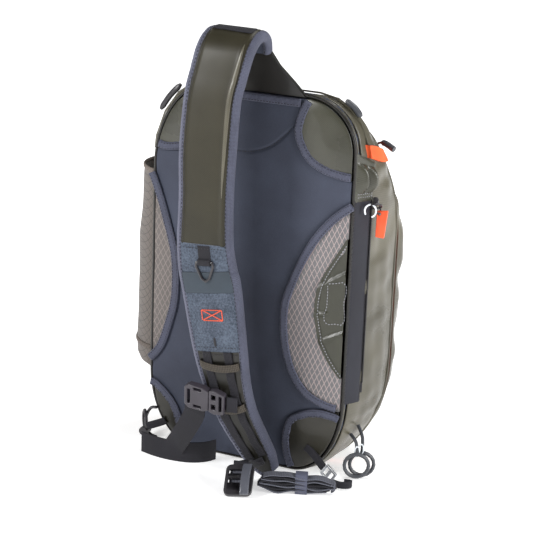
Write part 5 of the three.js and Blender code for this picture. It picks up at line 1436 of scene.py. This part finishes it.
def skin_x(y, z):
    """x of the right side's cloth at depths y and heights z: rings of the body at twenty depths, read
    between them."""
    levels = np.linspace(y.min() - 0.001, y.max() + 0.001, 20)
    steps = np.linspace(7, 16, 240)
    rings = [body_surface(np.full(240, level), steps) for level in levels]
    reads = np.array([np.interp(z.ravel(), ring[:, 2], ring[:, 0]) for ring in rings])
    place = (y.ravel() - levels[0]) / (levels[-1] - levels[0]) * 19
    k = np.clip(place.astype(int), 0, 18)
    pick = np.arange(len(k))
    return (reads[k, pick] + (place - k) * (reads[k + 1, pick] - reads[k, pick])).reshape(y.shape)


def skin_patch(name, y, z, lift, material):
    """A sheet on the right side: y and z are grids, and lift is its height over the body's cloth."""
    x = skin_x(y, z)
    top = np.stack([x + lift, y, z], -1)
    bottom = np.stack([x - 0.0014, y, z], -1)
    return slab(name, top, bottom, material, (), np.stack([z, y], -1))


s = np.linspace(0, 1, 60)[None, :]
t = np.linspace(0, 1, 60)[:, None]
flap_y = (RIM_Y - 0.0064) * (1 - s) + (RIM_Y + 0.0150 + 0.003 * t) * s
flap_z = (STRIP_TOP - 0.004) * (1 - t) + (STRIP_TOP + 0.052 - 0.012 * s) * t
flap_edge = (1 - np.abs(2 * s - 1) ** 5) * (1 - np.abs(2 * t - 1) ** 9)
swell_up = np.sin(math.pi * np.clip((t - 0.20) / 0.62, 0, 1)) ** 0.7
lobes = 0.0090 * np.abs(np.sin(math.pi * (0.08 + 1.84 * s))) * swell_up
flap_lift = 0.0014 + flap_edge * (0.0016 + lobes + 0.0008 * ripple(flap_y, flap_z, 260.0, 71))
skin_patch("zip_flap_cloth", flap_y, flap_z, flap_lift, finish["corner_olive"])
row_y = np.linspace(RIM_Y - 0.005, RIM_Y + 0.0145, 40)
for k in range(3):
    row_z = np.full(40, STRIP_TOP + 0.0020 + 0.0036 * k)
    row = np.stack([skin_x(row_y, row_z) + 0.0029, row_y, row_z], -1)
    stitches(f"zip_flap_stitches_{k}", row, each(TO_RIGHT, 40), finish["pale_thread"], 0.0020, 0.0010, 0.0003)
wedge_at = np.array([-0.038, -0.030, -0.020, -0.008, 0.006, 0.020])
wedge_high = np.array([0.3940, 0.3925, 0.3890, 0.3850, 0.3810, 0.3750])
wedge_low = np.array([0.3800, 0.3770, 0.3730, 0.3710, 0.3690, 0.3690])
wedge_y = np.linspace(wedge_at[0], wedge_at[-1], 70)[:, None] + 0 * s
wedge_z = np.interp(wedge_y, wedge_at, wedge_low) * (1 - s) + np.interp(wedge_y, wedge_at, wedge_high) * s
wedge_lift = 0.0052 + 0.0010 * ripple(wedge_y, wedge_z, 240.0, 72) * np.sin(math.pi * s)
skin_patch("gusset_wedge", wedge_y, wedge_z, wedge_lift, finish["orange_lining"])
print("flap and wedge made")

# %% [markdown]
# The spare webbing is folded into a flat bundle. Seven layers lie on one another: they spread out near
# the buckle, are held close by the keeper, and part again into an eye before the folds at the far end.

# %% Webbing bundle


def cord(name, line, radius, material, sides):
    """A round cord along an open line: a circle across the line's direction at each of its points."""
    tangent = unit(np.gradient(line, axis=0))
    away = unit(np.cross(tangent, [0.21, 0.35, 0.91]))
    return tube(name, round_section(line, radius, sides, away, np.cross(tangent, away)), material, ())


BUNDLE_WIDTH, BUNDLE_THICK = 0.0125, 0.0015
bundle_start = np.array([0.0560, -0.1235])
bundle_way = np.array([0.0800, 0.0325])
bundle_side = unit(np.array([-bundle_way[1], bundle_way[0], 0.0]))
share = np.linspace(0, 1, 120)
centre_z = np.interp(share, [0, 0.25, 0.5, 1], [0.0150, 0.0125, 0.0122, 0.0108])
spread = smooth_line(np.array([(0, 0.0017), (0.12, 0.0027), (0.3, 0.0035), (0.5, 0.0026), (0.62, 0.0023),
                               (0.8, 0.0019), (1, 0.0018)]), 120)
eye = 0.0026 * np.sin(math.pi * np.clip((share - 0.56) / 0.44, 0, 1)) ** 1.3
# Every other layer takes the lighter copy of the webbing: painted highlights on the layers' edges
for k in range(-3, 4):
    wave = 0.0005 * np.sin(share * 17 + k * 2.1)
    level = centre_z + k * np.interp(share, spread[:, 0], spread[:, 1]) + np.sign(k) * eye + wave
    flat = bundle_start + share[:, None] * bundle_way * (1 - 0.03 * abs(k)) + np.array([0.0010, 0.0004]) * k
    line = np.concatenate([flat, level[:, None]], axis=1)
    webbing(f"bundle_layer_{k + 4}", line, each(bundle_side, 120), each([0.0, 0.0, 1.0], 120), BUNDLE_WIDTH,
            BUNDLE_THICK, finish["webbing_painted_light" if k % 2 else "webbing"], ["web_bundle"] if k == 0 else [])
# The folds take the lighter copy of the webbing too: painted light
turn = np.linspace(-math.pi / 2, math.pi / 2, 24)
for fold, radius in enumerate((0.0054, 0.0033)):
    bend = (bundle_start[None, :]
            + bundle_way[None, :] * (0.925 + np.cos(turn)[:, None] * (0.055 - 0.012 * fold)))
    line = np.concatenate([bend, (centre_z[-1] + radius * np.sin(turn))[:, None]], axis=1)
    out_way = unit(np.concatenate([np.cos(turn)[:, None] * bundle_way[None, :] / 0.086,
                                   np.sin(turn)[:, None]], axis=1))
    webbing(f"bundle_fold_{fold}", line, each(bundle_side, 24), out_way, BUNDLE_WIDTH, BUNDLE_THICK,
            finish["webbing_painted_light"])
print("bundle of seven layers made")

# %% [markdown]
# The webbing runs through a ladder lock, a plastic frame with two slots and a lever. The frame is a
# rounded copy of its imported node, made further on. The web in its slots and the lighter lever are flat
# strips along straight lines.

# %% Ladder lock
lock_rise = unit(np.array([-0.26, 0.79, 0.56]))
lock_across = unit(np.array([0.94, 0.25, 0.10]))
lock_face = unit(np.cross(lock_across, lock_rise))
lock_centre = np.array([0.29 * HALF_WIDTH, BACK_Y - 1.17 * STRAP_REACH, 0.01445])
lock_line = lock_centre + np.linspace(0.021, -0.009, 30)[:, None] * lock_rise - 0.0034 * lock_face
# The web in the lock takes the lighter copy of the webbing: painted light
webbing("ladder_web", lock_line, each(lock_across, 30), each(lock_face, 30), 0.0245, 0.0016,
        finish["webbing_painted_light"])
lever_share = np.linspace(0, 1, 40)[:, None]
lever_line = (lock_centre + lock_across * 0.0085 + lock_rise * (0.0195 - 0.040 * lever_share)
              + lock_face * (0.0036 + 0.0042 * np.sin(math.pi * lever_share) ** 0.8))
webbing("lock_lever", lever_line, each(lock_across, 40), each(lock_face, 40), 0.0105, 0.0024,
        finish["lever_grey"], ())
print("ladder lock made")

# %% [markdown]
# Small sewn details on the felt: a plain box and cross tack in orange thread, and a dark bar tack below
# it.

# %% Felt tacks


def on_felt(rows, across):
    """Points just above the felt, and its face direction there: out = 1.6 mm * (1 - |s|^3) as the felt
    bulges."""
    share = across / (strap_frame(rows)[3] - UNDER_BINDING)
    lift = FACE_OUT + 0.0016 * (1 - np.abs(share) ** 3) + 0.0002
    line, _, face_way = strap_line(rows, across, lift)
    return line, face_way


TACK_TOP, TACK_FOOT, TACK_HALF = 13.34, 13.50, 0.0125
tack_rows = np.array([TACK_TOP, TACK_TOP, TACK_FOOT, TACK_FOOT, TACK_TOP, TACK_FOOT, TACK_TOP, TACK_FOOT])
tack_across = TACK_HALF * np.array([-1, 1, 1, -1, -1, 1, 1, -1])
leg_share = np.linspace(0, 1, 30)
for leg in (0, 1, 2, 3, 4, 6):
    line, normal = on_felt(tack_rows[leg] + (tack_rows[leg + 1] - tack_rows[leg]) * leg_share,
                           tack_across[leg] + (tack_across[leg + 1] - tack_across[leg]) * leg_share)
    stitches(f"felt_tack_{leg}", line, normal, finish["orange_thread"], 0.0021, 0.0003, 0.0007)
bar_line, bar_out = on_felt(np.linspace(13.76, 13.98, 30), np.full(30, -0.001))
stitches("felt_bar_tack", bar_line, bar_out, finish["black_thread"], 0.0110, 0.0003, 0.0015)
print("felt tacks made")

# %% [markdown]
# The zip's slider carries a hook of bright wire, each rubber ring hangs from a small wire clasp, and a
# rubber loop is held at the lower left corner. All are round wires or cords, bent along ellipses or
# through a few places.

# %% Hook, clasps and rubber loop
hook_turn = np.linspace(math.radians(-75), math.radians(215), 60)
across_view = np.array([math.cos(AZIMUTH), math.sin(AZIMUTH), 0.0])
hook_line = (np.array([0.1402, -0.0440, 0.3225]) + 0.0062 * np.cos(hook_turn)[:, None] * across_view
             + np.array([0.0, 0.0, 0.0072]) * np.sin(hook_turn)[:, None])
cord("hook_wire", hook_line, 0.0010, finish["bright_wire"], 10)
clasp_turn = np.linspace(0, 2 * math.pi, 41)[:-1]
for clasp, centre in (("front", (0.1385, -0.0385, 0.0335)), ("back", (0.1425, -0.0360, 0.0365))):
    loop = (np.array(centre) + 0.0026 * np.cos(clasp_turn)[:, None] * across_view
            + np.array([0.0, 0.0, 0.0062]) * np.sin(clasp_turn)[:, None])
    ring_tube(f"ring_clasp_{clasp}", loop, 0.0009, finish["bright_wire"], 8, (),
              loop.mean(axis=0) - loop)
loop_places = np.array([(-0.1130, -0.0560, 0.0440), (-0.1225, -0.0520, 0.0400), (-0.1300, -0.0480, 0.0290),
                        (-0.1330, -0.0460, 0.0180), (-0.1310, -0.0460, 0.0080), (-0.1240, -0.0480, 0.0035),
                        (-0.1150, -0.0520, 0.0040)])
loop_share = np.linspace(0, 6, 80)
cord("left_rubber_loop", read_rows(loop_places, loop_share), 0.0019, finish["black_plastic"], 12)
print("hook, clasps and rubber loop made")

# %% [markdown]
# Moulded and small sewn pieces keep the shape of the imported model, with their sharp edges rounded. A copy
# of each is merged, gets a small bevel, and takes its own finish.

# %% Rounded copies of small pieces
BEVEL_STEPS = 3
SHARP_EDGE = math.radians(32)  # edges that turn more than this are rounded
SAME_PLANE = math.radians(1.0)


def rounded_copy(node, material, bevel):
    """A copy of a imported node, its triangles merged into flat faces, whose sharp edges get a bevel of
    that width."""
    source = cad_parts[node]
    work = bmesh.new()
    work.from_mesh(source.data)
    bmesh.ops.remove_doubles(work, verts=work.verts, dist=1e-6)
    bmesh.ops.dissolve_limit(work, angle_limit=SAME_PLANE, verts=work.verts, edges=work.edges)
    bmesh.ops.triangulate(work, faces=[f for f in work.faces if len(f.verts) > 4])
    mesh = bpy.data.meshes.new(node + "_shape")
    work.to_mesh(mesh)
    work.free()
    mesh.materials.clear()
    mesh.materials.append(material)
    piece = bpy.data.objects.new(node + "_shape", mesh)
    bpy.context.scene.collection.objects.link(piece)
    rounding = piece.modifiers.new("rounded_edges", "BEVEL")
    rounding.width = bevel
    rounding.segments = BEVEL_STEPS
    rounding.limit_method = "ANGLE"
    rounding.angle_limit = SHARP_EDGE
    rounding.use_clamp_overlap = True
    mesh.polygons.foreach_set("use_smooth", np.ones(len(mesh.polygons), dtype=bool))
    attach(piece, "root")
    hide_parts(node)
    return piece


# The finish of each small piece and the width of its bevel
SMALL_PIECES = {
    "side_zip_slider": ("black_plastic", 0.0004), "orange_pull": ("orange_pull", 0.0008),
    "slider_hook": ("black_plastic", 0.0002), "main_zip": ("coated_olive", 0.0003),
    "top_pull_right": ("grey_rubber", 0.0001), "top_pull_left": ("black_plastic", 0.0001),
    "front_pull": ("grey_rubber", 0.0001), "d_ring_tab": ("webbing", 0.0004),
    "d_ring": ("black_plastic", 0.0001),
    "buckle_female": ("buckle_plastic", 0.0012), "buckle_male": ("buckle_plastic", 0.0010),
    "waist_web": ("webbing", 0.0005), "buckle_tab": ("webbing", 0.0004), "strap_end_web": ("webbing", 0.0004),
    "strap_end_buckle": ("black_plastic", 0.0011), "bundle_keeper": ("slate_binding", 0.0005),
    "right_corner_tab": ("webbing", 0.0010), "corner_slider": ("metal", 0.0006),
    "corner_loop": ("webbing", 0.0005),
    "left_corner_tab": ("webbing", 0.0008), "left_cord_lock": ("black_plastic", 0.0005),
    "ring_pull_front": ("grey_rubber", 0.0001), "ring_pull_back": ("grey_rubber", 0.0001),
    "back_wall": ("slate_pad", 0.0004),
}
for node, (look, bevel) in SMALL_PIECES.items():
    rounded_copy(node, finish[look], bevel)
print("rounded copies", len(SMALL_PIECES))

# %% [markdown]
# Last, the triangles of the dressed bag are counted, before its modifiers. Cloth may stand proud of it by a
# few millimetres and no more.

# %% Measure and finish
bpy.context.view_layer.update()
triangles = sum(len(p.vertices) - 2 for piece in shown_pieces() if piece.type == "MESH"
                for p in piece.data.polygons)
print("triangles before modifiers", triangles)
